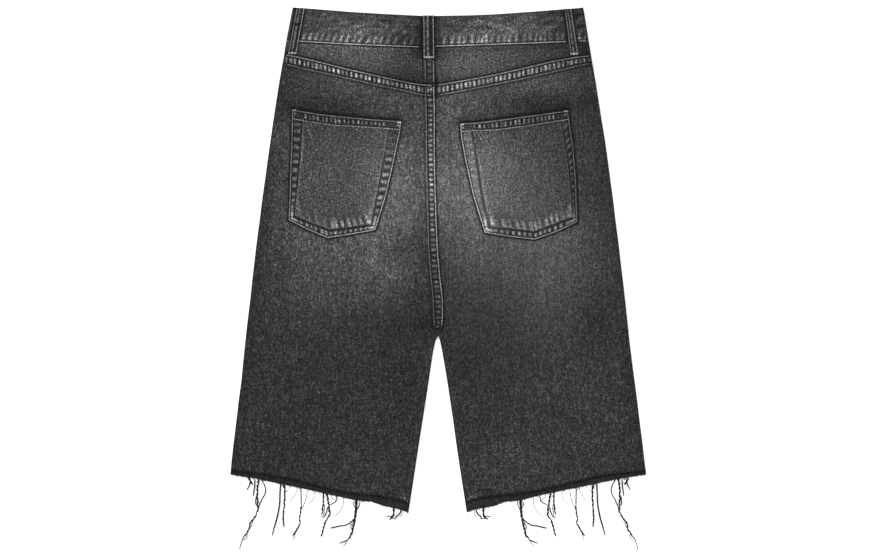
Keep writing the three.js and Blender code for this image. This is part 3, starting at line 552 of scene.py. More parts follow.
for name in POCKETS:
    p = POCKETS[name]
    p["loop"] = np.concatenate([p["top"][:-1], p["right"][:-1], p["low"][::-1][:-1], p["left"][::-1][:-1]])
    p["ropes"] = {
        "top": Ropes(-260, 260, 5.8, 40 + len(name), 0.2),
        "left": Ropes(0, 260, 9.6, 50 + len(name), 0.2),
        "right": Ropes(0, 260, 9.2, 60 + len(name), 0.2),
        "low": Ropes(-260, 260, 6.8, 70 + len(name), 0.2),
        "slant": Ropes(-320, 320, 3.9, 90 + len(name), 0.35, 0.26, 0.6),
        "rays": Ropes(-260, 260, 8.0, 80 + len(name), 0.25, 0.26, 0.35, mx(RAYS[name])),
    }
# Each band of each pocket: how strong its bars are, how pale its body is, how
# dark its inner line's groove is (unworn dye and painted shade), and how pale the cloth just past that line is.
POCKET_BAND = {
    "left": {"top": (2.1, -0.04, 0.60, 0.00), "low": (1.6, 0.05, 0.76, 0.14), "left": (1.45, 0.05, 0.58, 0.14),
             "right": (1.15, -0.02, 0.48, 0.05)},
    "right": {"top": (2.0, -0.05, 0.60, 0.00), "low": (1.5, 0.05, 0.72, 0.10), "left": (0.30, 0.14, 0.50, 0.10),
              "right": (1.25, -0.04, 0.45, 0.05)},
}


def pocket_form(x, y, side):
    """Top of a patch pocket over the panel: (height, shade)."""
    p, rope, band = POCKETS[side], POCKETS[side]["ropes"], POCKET_BAND[side]
    by_y = lambda key: np.interp(y, p[key][::-1, 1], p[key][::-1, 0])
    by_x = lambda key: np.interp(x, p[key][:, 0], p[key][:, 1])
    # distances in from each side, and how far the second stitches are
    e_top, w_top = by_x("top") - y, by_x("top") - by_x("top_in")
    e_low, w_low = y - by_x("low"), by_x("low_in") - by_x("low")
    e_left, w_left = x - by_y("left"), by_y("left_in") - by_y("left")
    e_right, w_right = by_y("right") - x, by_y("right") - by_y("right_in")
    h = np.full(np.shape(x), 1.0)
    shade = np.ones(np.shape(x))
    edge = np.minimum(np.minimum(e_top, e_low), np.minimum(e_left, e_right))
    v = V0 - y / MM_PER_PX
    u = x / MM_PER_PX + U0
    # bars lean at the top of the right pocket's right side, and are weak where
    # the left pocket's right side begins and at the ends of the hems
    lean = np.where(side == "right", 1.1 * (1 - smooth(168, 178, v)), 0.0)
    fade_right = np.where(side == "left", 0.35 + 0.65 * smooth(148, 158, v), 1.0)
    ends_top = (304, 384) if side == "left" else (472, 559)
    fade_top = smooth(ends_top[0] - 3, ends_top[0] + 1, u) * (1 - smooth(ends_top[1] - 1, ends_top[1] + 3, u))
    # both low corners are pale, without bars
    ends = [np.hypot(x - p[key][-1, 0], y - p[key][-1, 1]) for key in ("left", "right")]
    low_corner = np.exp(-(np.minimum(*ends) / 14) ** 4)
    bands = [
        ("top", e_top, w_top, rope["top"](x), fade_top),
        ("low", e_low, w_low, rope["low"](x), 1 - low_corner),
        ("left", e_left, w_left, rope["left"](y), 1 - low_corner),
        ("right", e_right, w_right, rope["right"](y + lean * e_right), fade_right * (1 - low_corner)),
    ]
    claimed = np.zeros(np.shape(x))
    for key, e, w, ropes, fade in bands:
        bar, pale, dark, past = band[key]
        on = (1 - smooth(w - 0.4, w + 0.9, e)) * (1 - claimed)
        body = smooth(2.9, 4.0, e) * (1 - smooth(w - 4.0, w - 2.6, e))
        first, second = bell(e, 2.7, 0.9), bell(e, w - 1.5, 1.15)
        others = np.minimum.reduce([q for k, q, *_ in bands if k != key])
        corner = smooth(1.5, 4.5, others)
        near = (1 - claimed) * smooth(1.0, 2.5, others)
        h = h + on * (0.45 - 0.28 * first - 0.34 * second + fade * body * corner * (0.55 * ropes - 0.25))
        # darker grooves along both rows of stitches, unworn dye and painted shade; the cloth just past the inner row is
        # worn paler
        shade = shade * (1 - 0.52 * near * first) * (1 - dark * near * second) * (1 + past * near * bell(e, w + 1.6, 1.3))
        shade = shade * (1 + on * body * corner * (pale + fade * bar * (ropes - 0.36)))
        shade = shade * (1 - on * body * corner * (1 - fade) * 0.16)
        claimed = np.maximum(claimed, on)
    shade = shade * (1 + 1.15 * low_corner * claimed * smooth(2.5, 3.7, edge) * (1 - smooth(5.4, 7.0, edge)))
    # slanting wrinkles under the top hem, longest at its outer left end: painted light and shade only, with no relief
    under = e_top - w_top
    fan = bell(u, ends_top[0] + 5, 12)
    slant = rope["slant"](x - (0.75 - 0.2 * fan) * under) - 0.33
    depth = smooth(0.4, 1.6, under) * (1 - smooth(3 + 9 * fan, 8 + 20 * fan, under)) * (1 - claimed)
    shade = shade * (1 + (0.5 + 0.25 * fan) * slant * depth)
    # rays of wear above the bottom stitches
    ray = rope["rays"](x + 0.25 * (e_low - w_low))
    above = e_low - w_low
    reach = smooth(0.5, 2.0, above) * (1 - smooth(8.5, 14.5, above))
    strong = np.where(side == "left", 0.45 + 0.6 * smooth(325, 333, u), 0.95)
    shade = shade * (1 + strong * (0.95 * ray - 0.24) * reach * (1 - claimed))
    shade = shade * (1 - 0.11 * strong * bell(above, 14.5, 5) * (1 - claimed))
    h = h + 0.28 * ray * reach * (1 - claimed)
    inner = smooth(1.0, 22.0, edge - 12)
    h = h + 0.35 * inner + 0.12 * value_noise(x, y, 17, 26, 33)
    drop = 1 - rounded(np.clip(edge, 0, 9) * 2.2)
    return h - 0.55 * drop, shade


# ------------------------------------------------------------------- waistband
def band_form(x, y):
    """Top of the back waistband: (height, shade)."""
    e = y - interp(x, BAND_LOW)
    e_top = interp(x, BAND_TOP) - y
    lean = np.where(x < 0, x - 0.40 * np.clip(e - 3, 0, 30), x - 0.10 * np.clip(e - 3, 0, 30))
    rope = np.where(x < fold_x(300), ROPE_BAND["left"](lean), ROPE_BAND["right"](lean))
    reach = smooth(2.7, 3.7, e) * (1 - smooth(10, 16, e))
    groove = bell(e, 2.7, 0.95)
    h = -0.25 * groove + reach * (0.70 * rope - 0.24)
    across = value_noise(x * 0.62 - y * 0.78, x * 0.78 + y * 0.62, 4.6, 12, 34)
    ripple = value_noise(x, y, 11, 3.6, 35)
    high = smooth(9, 16, e) * smooth(1, 5, e_top)
    h = h + high * (0.14 * across + 0.12 * ripple)
    near = smooth(0, 26, np.abs(x - mx(428.5)))
    # darker in the groove by the low stitches, unworn dye and painted shade; the puckers are worn paler, less so beside
    # the middle loop
    shade = (1 - 0.46 * groove) * (1 + reach * (0.92 * rope - 0.24) * (0.35 + 0.65 * near))
    shade = shade * (1 + 0.30 * near * bell(e, 4.7, 1.3) * (0.5 + 0.8 * rope))
    # paler where the ripples stand higher, worn, and darker where they lie lower, partly painted shade
    shade = shade * (1 + high * (0.17 * across + 0.17 * ripple))
    # painted shade along the rounded top and low edges
    shade = shade * (1 - 0.5 * bell(e_top, 0, 1.1)) * (1 - 0.45 * bell(e, -0.3, 0.9))
    # painted shadow on the waistband beside the middle belt loop
    d = x - mx(428.3)
    outside = np.maximum(np.abs(d) - 7.4, 0)
    shade = shade * (1 - 0.55 * bell(outside, 0, 2.4)) * (1 - 0.26 * bell(outside, 0, 9.0))
    # painted shadows beside the two side belt loops, wider left of the left one
    for top_u, low_u, half in ((300.4, 293.0, 5.8), (567.6, 573.8, 4.9)):
        centre = mx(np.interp(V0 - y / MM_PER_PX, [8, 54], [top_u, low_u]))
        outside = np.maximum(np.abs(x - centre) - half, 0)
        shade = shade * (1 - 0.55 * bell(outside, 0, 2.2))
        if top_u < 400:
            shade = shade * (1 - 0.35 * np.where(x < centre, bell(outside, 2.0, 2.6), 0))
    h = h - 0.5 * (1 - rounded(np.clip(np.minimum(e, e_top), 0, 9) * 2.0))
    return BAND_BACK_TOP + h, shade


def yoke_form(x, y, side):
    e = y - interp(x, YOKE_EDGE[side])
    e_band = interp(x, BAND_LOW) - y
    z = back_top(y) + 0.12 * value_noise(x, y, 16, 22, 36) * smooth(1, 8, e)
    # painted shadows: a dark line just above the seam's folded edge and another just under the waistband's low edge,
    # with a fainter, wider darkening above the seam
    shade = (1 - 0.68 * bell(e, 0.3, 1.7)) * (1 - 0.48 * bell(e_band, 0, 1.7)) * (1 - 0.10 * bell(e, 4, 5))
    # the edge of the seam allowance inside shows as a paler, beaded line
    bead = 0.5 + 0.5 * value_noise(x, y * 0, 2.2, 9, 40)
    if side == "left":
        shade = shade * (1 + 0.26 * bell(e_band, 3.2, 1.2) * (0.4 + 0.9 * bead))
    else:
        shade = shade * (1 - 0.16 * bell(e_band, 5.0, 3.6) + 0.08 * bell(e_band, 3.0, 1.0) * bead)
    d_fold = fold_x(y) - x
    low = my(59.5)
    on = 1 - smooth(low - 1, low + 2, y)
    if side == "left":
        h, s = fell(d_fold, y, seat_width(y), ROPE_YOKE_MIDDLE, 0.75, 0.28)
        z = z + on * h * smooth(0.0, 1.5, e)
        shade = shade * (1 + on * (s - 1))
    else:
        # the other leg's folded edge stands over this one: a painted shadow line
        shade = shade * (1 - 0.62 * on * bell(d_fold, -0.4, 1.8))
    # painted shadow on the yoke beside the low end of the middle belt loop
    outside = np.maximum(np.abs(x - mx(428.6)) - 7.6, 0)
    beside = smooth(low - 3, low + 3, y)
    shade = shade * (1 - beside * 0.55 * bell(outside, 0, 2.4)) * (1 - beside * 0.34 * bell(outside, 0, 10))
    return z, shade


# ------------------------------------------------------------------ mesh maker
def make_object(name, verts, loops, starts, totals, tone, smooth_angle=50.0):
    mesh = bpy.data.meshes.new(name)
    mesh.vertices.add(len(verts))
    mesh.vertices.foreach_set("co", (np.asarray(verts, np.float64) * 0.001).astype(np.float32).ravel())
    mesh.loops.add(len(loops))
    mesh.loops.foreach_set("vertex_index", np.asarray(loops, np.int32))
    mesh.polygons.add(len(starts))
    mesh.polygons.foreach_set("loop_start", np.asarray(starts, np.int32))
    mesh.polygons.foreach_set("loop_total", np.asarray(totals, np.int32))
    mesh.update(calc_edges=True)
    mesh.validate()
    attr = mesh.attributes.new("tone", "FLOAT", "POINT")
    attr.data.foreach_set("value", np.asarray(tone, np.float32))
    attr = mesh.attributes.new("speckle", "FLOAT", "POINT")
    attr.data.foreach_set("value", speckle_at(verts[:, 0], verts[:, 1]).astype(np.float32))
    mesh.polygons.foreach_set("use_smooth", np.ones(len(mesh.polygons), bool))
    mesh.set_sharp_from_angle(angle=math.radians(smooth_angle))
    obj = bpy.data.objects.new(name, mesh)
    bpy.context.scene.collection.objects.link(obj)
    return obj


def signed_volume(verts, faces):
    total = 0.0
    for f in faces:
        a = verts[f[:, 0]]
        for k in range(1, f.shape[1] - 1):
            total += np.einsum("ij,ij->i", a, np.cross(verts[f[:, k]], verts[f[:, k + 1]])).sum()
    return total


def sheet_mesh(name, outer, inner, tone_outer, tone_inner, step=4):
    """Closed thin shell: a fine outer grid, and an inner grid that uses only
    some of its rows and columns. outer and inner are rows x columns x 3."""
    n, m = outer.shape[:2]
    rows = sorted(set(range(0, n, step)) | {n - 1})
    cols = sorted(set(range(0, m, step)) | {m - 1})
    kr, kc = len(rows), len(cols)
    a = lambda i, j: i * m + j
    b = lambda i, j: n * m + i * kc + j
    verts = np.concatenate([outer.reshape(-1, 3), inner[np.ix_(rows, cols)].reshape(-1, 3)])
    tone = np.concatenate([tone_outer.ravel(), tone_inner[np.ix_(rows, cols)].ravel()])
    i, j = np.meshgrid(np.arange(n - 1), np.arange(m - 1), indexing="ij")
    top = np.stack([a(i, j), a(i + 1, j), a(i + 1, j + 1), a(i, j + 1)], -1).reshape(-1, 4)
    i, j = np.meshgrid(np.arange(kr - 1), np.arange(kc - 1), indexing="ij")
    low = np.stack([b(i, j), b(i, j + 1), b(i + 1, j + 1), b(i + 1, j)], -1).reshape(-1, 4)
    rim = []
    for q in range(kc - 1):
        rim.append([a(0, c) for c in range(cols[q], cols[q + 1] + 1)] + [b(0, q + 1), b(0, q)])
        rim.append([a(n - 1, c) for c in range(cols[q + 1], cols[q] - 1, -1)] + [b(kr - 1, q), b(kr - 1, q + 1)])
    for q in range(kr - 1):
        rim.append([a(r, 0) for r in range(rows[q + 1], rows[q] - 1, -1)] + [b(q, 0), b(q + 1, 0)])
        rim.append([a(r, m - 1) for r in range(rows[q], rows[q + 1] + 1)] + [b(q + 1, kc - 1), b(q, kc - 1)])
    if signed_volume(verts, [top, low]) < 0:
        top, low = top[:, ::-1], low[:, ::-1]
        rim = [r[::-1] for r in rim]
    loops = np.concatenate([top.ravel(), low.ravel(), np.concatenate([np.array(r) for r in rim])])
    totals = np.concatenate([np.full(len(top) + len(low), 4), np.array([len(r) for r in rim])])
    starts = np.concatenate([[0], np.cumsum(totals)[:-1]])
    return make_object(name, verts, loops, starts, totals, tone)


class Soup:
    """Many small closed pieces that become one mesh."""

    def __init__(self):
        self.verts, self.faces, self.tone, self.count = [], [], [], 0

    def tube(self, path, radius, sides, tone, flat=1.0):
        """A capped tube along path, with a radius for each point."""
        path = np.asarray(path, float)
        radius = np.broadcast_to(np.asarray(radius, float), (len(path),))
        tone = np.broadcast_to(np.asarray(tone, float), (len(path),))
        tangent = np.gradient(path, axis=0)
        tangent /= np.linalg.norm(tangent, axis=1, keepdims=True) + 1e-9
        up = np.array([0.0, 0.0, 1.0])
        across = np.cross(tangent, up)
        across /= np.linalg.norm(across, axis=1, keepdims=True) + 1e-9
        rise = np.cross(across, tangent)
        turn = np.arange(sides) * 2 * math.pi / sides + 0.3
        ring = (path[:, None] + radius[:, None, None] * (np.cos(turn)[None, :, None] * across[:, None]
                + flat * np.sin(turn)[None, :, None] * rise[:, None]))
        base = self.count
        k = len(path)
        self.verts.append(ring.reshape(-1, 3))
        self.tone.append(np.repeat(tone, sides))
        for i in range(k - 1):
            for s in range(sides):
                t = (s + 1) % sides
                self.faces.append([base + i * sides + s, base + i * sides + t, base + (i + 1) * sides + t,
                                   base + (i + 1) * sides + s])
        self.faces.append([base + s for s in range(sides)][::-1])
        self.faces.append([base + (k - 1) * sides + s for s in range(sides)])
        self.count += k * sides

    def build(self, name, angle=60.0):
        verts = np.concatenate(self.verts)
        totals = np.array([len(f) for f in self.faces])
        loops = np.concatenate([np.array(f) for f in self.faces])
        starts = np.concatenate([[0], np.cumsum(totals)[:-1]])
        return make_object(name, verts, loops, starts, totals, np.concatenate(self.tone), angle)


def resample(points, spacing):
    points = np.asarray(points, float)
    seg = np.hypot(*np.diff(points[:, :2], axis=0).T)
    s = np.concatenate([[0], np.cumsum(seg)])
    n = max(2, int(math.ceil(s[-1] / spacing)) + 1)
    t = np.linspace(0, s[-1], n)
    return np.stack([np.interp(t, s, points[:, k]) for k in range(points.shape[1])], 1), t


STITCHES = Soup()
THREAD_LEVEL = 126.0


def stitch(points, height, length=3.6, gap=0.6, radius=0.5, level=THREAD_LEVEL, sign=1.0, vary=0.16):
    """A row of stitches along (x, y) points, on the surface that height(x, y)
    gives, on its upper side or, with sign -1, on its lower side."""
    fine, s = resample(points, 0.4)
    total = s[-1]
    start = gap
    while start + length * 0.6 < total:
        end = min(start + length * RNG.uniform(0.93, 1.05), total)
        t = np.linspace(start, end, 6)
        x, y = np.interp(t, s, fine[:, 0]), np.interp(t, s, fine[:, 1])
        z = height(x, y)
        bulge = np.array([-0.30, 0.02, 0.12, 0.12, 0.02, -0.30])
        path = np.stack([x, y, z + sign * (bulge + radius * 0.25)], 1)
        here = wash_and_shade(x.mean(), y.mean())
        shade = level * (0.55 + 0.45 * np.clip(here / 88.0, 0.5, 1.15)) * (1 + RNG.uniform(-vary, vary))
        STITCHES.tube(path, np.array([0.6, 0.95, 1.0, 1.0, 0.95, 0.6]) * radius, 6, dye(shade), 0.85)
        start = end + gap * RNG.uniform(0.8, 1.3)


def bar_tack(x0, y0, x1, y1, height, wide=2.0, level=150.0, pitch=0.62, sign=1.0):
    """Dense zigzag stitches from one place to another."""
    n = max(3, int(math.hypot(x1 - x0, y1 - y0) / pitch))
    dx, dy = x1 - x0, y1 - y0
    length = math.hypot(dx, dy)
    nx, ny = -dy / length, dx / length
    for k in range(n):
        t = (k + 0.5) / n
        cx, cy = x0 + dx * t, y0 + dy * t
        lean = 0.35 * (1 if k % 2 else -1)
        s = np.linspace(-0.5, 0.5, 4) * wide * RNG.uniform(0.9, 1.1)
        px, py = cx + nx * s + dx / length * lean * s, cy + ny * s + dy / length * lean * s
        z = height(px, py) + sign * (0.30 - 0.9 * (s / wide) ** 2)
        STITCHES.tube(np.stack([px, py, z], 1), 0.40, 5, dye(level * RNG.uniform(0.85, 1.12)))


# ------------------------------------------------------------------- materials
def denim_material(name, speckle=1.0, tint=(1.010, 0.990, 1.0), rough=0.9, sheen=0.08, bump=0.6):
    mat = bpy.data.materials.new(name)
    mat.use_nodes = True
    nt = mat.node_tree
    nt.nodes.clear()
    node = lambda kind, **kw: _node(nt, kind, **kw)
    out = node("ShaderNodeOutputMaterial")
    shader = node("ShaderNodeBsdfPrincipled")
    shader.inputs["Roughness"].default_value = rough
    shader.inputs["Specular IOR Level"].default_value = 0.18
    shader.inputs["Sheen Weight"].default_value = sheen
    shader.inputs["Sheen Roughness"].default_value = 0.45
    nt.links.new(shader.outputs[0], out.inputs[0])
    coord = node("ShaderNodeTexCoord")
    tone = node("ShaderNodeAttribute", attribute_name="tone")
    amount = node("ShaderNodeAttribute", attribute_name="speckle")

    def noise(scale, rotate, size, detail, rough_):
        m = node("ShaderNodeMapping")
        m.inputs["Scale"].default_value = scale
        m.inputs["Rotation"].default_value = (0, 0, rotate)
        nt.links.new(coord.outputs["Object"], m.inputs[0])
        t = node("ShaderNodeTexNoise")
        t.inputs["Scale"].default_value = size
        t.inputs["Detail"].default_value = detail
        t.inputs["Roughness"].default_value = rough_
        nt.links.new(m.outputs[0], t.inputs["Vector"])
        return t.outputs["Fac"]

    def maths(op, a, b=None, c=None):
        n = node("ShaderNodeMath")
        n.operation = op
        for k, value in enumerate((a, b, c)):
            if value is None:
                continue
            if isinstance(value, (int, float)):
                n.inputs[k].default_value = value
            else:
                nt.links.new(value, n.inputs[k])
        return n.outputs[0]

    grain = noise((1, 0.82, 0.3), 0.0, 560.0, 0.0, 0.5)             # speckle of the wash
    fine = noise((1, 0.9, 0.3), 0.0, 900.0, 0.0, 0.5)               # yarn by yarn
    warp = noise((1, 0.10, 0.3), 0.0, 560.0, 0.0, 0.5)              # slubs along the warp
    weft = noise((0.12, 1, 0.3), 0.0, 560.0, 0.0, 0.5)              # fainter, along the weft
    left = noise((1, 0.34, 0.3), math.radians(38), 560.0, 0.0, 0.5)
    right = noise((1, 0.34, 0.3), math.radians(-38), 560.0, 0.0, 0.5)
    wale = node("ShaderNodeTexWave")
    wale.wave_type, wale.bands_direction, wale.wave_profile = "BANDS", "X", "SIN"
    wale.inputs["Scale"].default_value = 520.0
    wale.inputs["Distortion"].default_value = 1.2
    wale.inputs["Detail"].default_value = 1.0
    turn = node("ShaderNodeMapping")
    turn.inputs["Rotation"].default_value = (0, 0, math.radians(58))
    nt.links.new(coord.outputs["Object"], turn.inputs[0])
    nt.links.new(turn.outputs[0], wale.inputs["Vector"])

    parts = ((grain, 3.0), (left, 0.9), (right, 0.9), (warp, 0.8), (weft, 0.5), (fine, 1.6), (wale.outputs["Fac"], 0.3))
    mix = None
    for fac, weight in parts:
        term = maths("MULTIPLY_ADD", fac, weight * speckle, -0.5 * weight * speckle)
        mix = term if mix is None else maths("ADD", mix, term)
    mix = maths("MULTIPLY", mix, amount.outputs["Fac"])
    factor = maths("EXPONENT", maths("ADD", mix, -0.07))
    value = maths("MULTIPLY", tone.outputs["Fac"], factor)
    rgb = node("ShaderNodeCombineColor")
    for k in range(3):
        nt.links.new(maths("MULTIPLY", value, float(tint[k]) ** 2.2), rgb.inputs[k])
    nt.links.new(rgb.outputs[0], shader.inputs["Base Color"])
    height = maths("ADD", maths("MULTIPLY", wale.outputs["Fac"], 0.5), maths("MULTIPLY", grain, 1.2))
    height = maths("ADD", height, maths("MULTIPLY", warp, 0.5))
    b = node("ShaderNodeBump")
    b.inputs["Strength"].default_value = bump
    b.inputs["Distance"].default_value = 0.0005
    nt.links.new(height, b.inputs["Height"])
    nt.links.new(b.outputs[0], shader.inputs["Normal"])
    return mat


def _node(tree, kind, **kw):
    n = tree.nodes.new(kind)
    for key, value in kw.items():
        setattr(n, key, value)
    return n


def yarn_material(name, rough=0.8, twist=900.0, tint=(1.0, 1.0, 1.0)):
    mat = bpy.data.materials.new(name)
    mat.use_nodes = True
    nt = mat.node_tree
    shader = nt.nodes["Principled BSDF"]
    shader.inputs["Roughness"].default_value = rough
    shader.inputs["Specular IOR Level"].default_value = 0.2
    shader.inputs["Sheen Weight"].default_value = 0.08
    coord = _node(nt, "ShaderNodeTexCoord")
    tone = _node(nt, "ShaderNodeAttribute", attribute_name="tone")
    t = _node(nt, "ShaderNodeTexNoise")
    t.inputs["Scale"].default_value = twist
    t.inputs["Detail"].default_value = 2.0
    nt.links.new(coord.outputs["Object"], t.inputs["Vector"])
    gain = _node(nt, "ShaderNodeMath")
    gain.operation = "MULTIPLY_ADD"
    gain.inputs[1].default_value, gain.inputs[2].default_value = 1.1, 0.45
    nt.links.new(t.outputs["Fac"], gain.inputs[0])
    value = _node(nt, "ShaderNodeMath")
    value.operation = "MULTIPLY"
    nt.links.new(tone.outputs["Fac"], value.inputs[0])
    nt.links.new(gain.outputs[0], value.inputs[1])
    rgb = _node(nt, "ShaderNodeCombineColor")
    for k in range(3):
        m = _node(nt, "ShaderNodeMath")
        m.operation = "MULTIPLY"
        m.inputs[1].default_value = tint[k]
        nt.links.new(value.outputs[0], m.inputs[0])
        nt.links.new(m.outputs[0], rgb.inputs[k])
    nt.links.new(rgb.outputs[0], shader.inputs["Base Color"])
    bump = _node(nt, "ShaderNodeBump")
    bump.inputs["Strength"].default_value = 0.5
    bump.inputs["Distance"].default_value = 0.0002
    nt.links.new(t.outputs["Fac"], bump.inputs["Height"])
    nt.links.new(bump.outputs[0], shader.inputs["Normal"])
    return mat


def metal_material(name, level=0.22):
    mat = bpy.data.materials.new(name)
    mat.use_nodes = True
    nt = mat.node_tree
    shader = nt.nodes["Principled BSDF"]
    shader.inputs["Metallic"].default_value = 1.0
    coord = _node(nt, "ShaderNodeTexCoord")
    t = _node(nt, "ShaderNodeTexNoise")
    t.inputs["Scale"].default_value = 700.0
    t.inputs["Detail"].default_value = 4.0
    nt.links.new(coord.outputs["Object"], t.inputs["Vector"])
    ramp = _node(nt, "ShaderNodeValToRGB")
    ramp.color_ramp.elements[0].position, ramp.color_ramp.elements[0].color = 0.3, (level * 0.6,) * 3 + (1,)
    ramp.color_ramp.elements[1].position, ramp.color_ramp.elements[1].color = 0.7, (level * 1.3,) * 3 + (1,)
    nt.links.new(t.outputs["Fac"], ramp.inputs[0])
    nt.links.new(ramp.outputs[0], shader.inputs["Base Color"])
    rough = _node(nt, "ShaderNodeMapRange")
    rough.inputs["To Min"].default_value, rough.inputs["To Max"].default_value = 0.28, 0.5
    nt.links.new(t.outputs["Fac"], rough.inputs["Value"])
    nt.links.new(rough.outputs[0], shader.inputs["Roughness"])
    bump = _node(nt, "ShaderNodeBump")
    bump.inputs["Strength"].default_value = 0.15
    bump.inputs["Distance"].default_value = 0.0001
    nt.links.new(t.outputs["Fac"], bump.inputs["Height"])
    nt.links.new(bump.outputs[0], shader.inputs["Normal"])
    return mat


DENIM_MAT = denim_material("denim_twill")
FRONT_MAT = denim_material("denim_twill_front", 0.85)
SEAM_THREAD = yarn_material("seam_thread")
LOOSE_THREAD = yarn_material("loose_yarn", 0.9, 500.0)
METAL = metal_material("dark_button_metal")

PIECES = []


def finish_piece(obj, material, nodes=(), flat=None):
    obj.data.materials.append(material)
    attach(obj, "root")
    if nodes:
        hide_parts(*nodes)
    PIECES.append(obj)
    return obj


# ----------------------------------------------------------------- back panels
EDGE_STEPS = np.array([0, 0.25, 0.6, 1.05, 1.6, 2.3, 3.1, 4.1])


def row_shares(length, middle, start=EDGE_STEPS, end=EDGE_STEPS):
    """Shares of a row's length: fine steps at both ends, even ones between."""
    first, last = start / length, 1 - end[::-1] / length
    between = np.linspace(first[-1], last[0], middle + 2)[1:-1]
    return np.concatenate([first, between, last])


BACK_ROWS = [  # y at the outseam, y at the middle, share of the top edge's curve, of the hem's curve
    (292.8, 253.4, 1, 0), (278.2, 239.0, 1, 0), (252, 218, 0.4, 0), (222, 205, 0, 0), (181, 168, 0, 0),
    (103, 103, 0, 0), (38, 38, 0, 0), (-53, -60, 0, 0), (-73.75, -73.75, 0, 0), (-84, -84, 0, 0),
    (-105, -105, 0, 0), (-157, -160, 0, 0), (-209, -226, 0, 0.5), (-235, -266, 0, 0.9), (-249.6, -290.8, 0, 1)]


def panel_rows(table, side, fine, coarse, top_edge, low_edge, coarse_below):
    """Rows of a leg panel as arrays of y at the outseam, y at the middle and
    the two curve shares."""
    rows = []
    for k in range(len(table) - 1):
        a, b = np.array(table[k], float), np.array(table[k + 1], float)
        span = max(abs(a[0] - b[0]), abs(a[1] - b[1]))
        target = fine if min(a[0], b[0]) > coarse_below else coarse
        n = max(1, int(math.ceil(span / target)))
        for q in range(n):
            rows.append(a + (b - a) * q / n)
    rows.append(np.array(table[-1], float))
    return np.array(rows)


def leg_grid(rows, side, middle, top_edge, low_edge, outer_x=None, middle_fn=None):
    """x and y of a leg panel's points, with distances in from both sides."""
    middle_fn = middle_fn or middle_x
    outer_x = outer_x or side_x
    X, Y, D0, D1 = [], [], [], []
    top_line = None
    for out, mid, w_top, w_low in rows:
        x0, x1 = float(outer_x(out, side)), float(middle_fn(mid, side))
        length = math.hypot(x1 - x0, mid - out)
        t = row_shares(length, middle)
        x, y = x0 + (x1 - x0) * t, out + (mid - out) * t
        if w_top > 0 and top_edge is not None:
            o, m = rows[0][0], rows[0][1]
            xo, xm = float(outer_x(o, side)), float(middle_fn(m, side))
            tt = np.clip((x - xo) / (xm - xo), 0, 1)
            curve = interp(x, top_edge) - (o + (m - o) * tt)
            y = y + w_top * curve
        if w_low > 0:
            o, m = rows[-1][0], rows[-1][1]
            xo, xm = float(outer_x(o, side)), float(middle_fn(m, side))
            tt = np.clip((x - xo) / (xm - xo), 0, 1)
            curve = interp(x, low_edge) - (o + (m - o) * tt)
            y = y + w_low * curve
        X.append(x)
        Y.append(y)
        D0.append(t * length)
        D1.append((1 - t) * length)
    return np.array(X), np.array(Y), np.array(D0), np.array(D1)


def back_sides(x, y, z, d0, d1, row_mid):
    """Turns the cloth down at its sewn sides: (top, underside)."""
    crotch = my(336)
    d = np.where((row_mid <= crotch + 0.5)[:, None], np.minimum(d0, d1), d0)
    meet = side_meet(y) + GAP / 2
    r = rounded(d)
    lip = meet + EDGE_LIP
    top = np.where(d < EDGE_ROUND, lip + (z - lip) * r, z)
    under = np.where(d < EDGE_ROUND, meet + (back_under(y) - meet) * r, back_under(y))
    return top, under


INSIDE_LEVEL = 44.0


def make_back(side):
    rows = panel_rows(BACK_ROWS, side, 1.15, 2.4, YOKE_EDGE[side], HEM_BACK[side], -80)
    x, y, d0, d1 = leg_grid(rows, side, 176, YOKE_EDGE[side], HEM_BACK[side])
    z, shade = back_form(x, y, side)
    shade = shade * pocket_shadow(x, y)
    mark, lift = marks(x, y)
    top, under = back_sides(x, y, z + lift, d0, d1, rows[:, 1])
    hem = y - interp(x, HEM_BACK[side])
    level = wash_and_shade(x, y)
    # darker toward the outseam: darker dye over a wide band, and painted shade right at the edge where the cloth turns
    # down
    level = level - 5.0 * bell(d0, 0, 16) - 10.0 * bell(d0, 0, 1.6)
    # at the inseams below the crotch: painted shade right at the turned-down edge, worn paler just inside it
    below = smooth(my(334), my(346), y)
    level = level - below * (8.0 * bell(d1, 0, 1.8) - 6.0 * bell(d1, 4.2, 2.0))
    # painted shadow along the cut edge of the hem
    shade = shade * (1 - 0.60 * bell(hem, 0, 2.0))
    # the cut edge of the hem lifts and frays a little
    fray = 0.25 * value_noise(x, y, 2.2, 6, 37) * bell(hem, 0, 2.5)
    top = top + fray
    tone = dye(np.clip(level * np.clip(shade, 0.12, 2.6) + mark, 8, 210))
    outer = np.stack([x, y, top], -1)
    inner = np.stack([x, y, np.minimum(under, top - 0.35)], -1)
    obj = sheet_mesh(f"back_{side}_cloth", outer, inner, tone, np.full(x.shape, dye(INSIDE_LEVEL)))
    return finish_piece(obj, DENIM_MAT, [f"back_{side}"], flat=(0.276, 0.586))


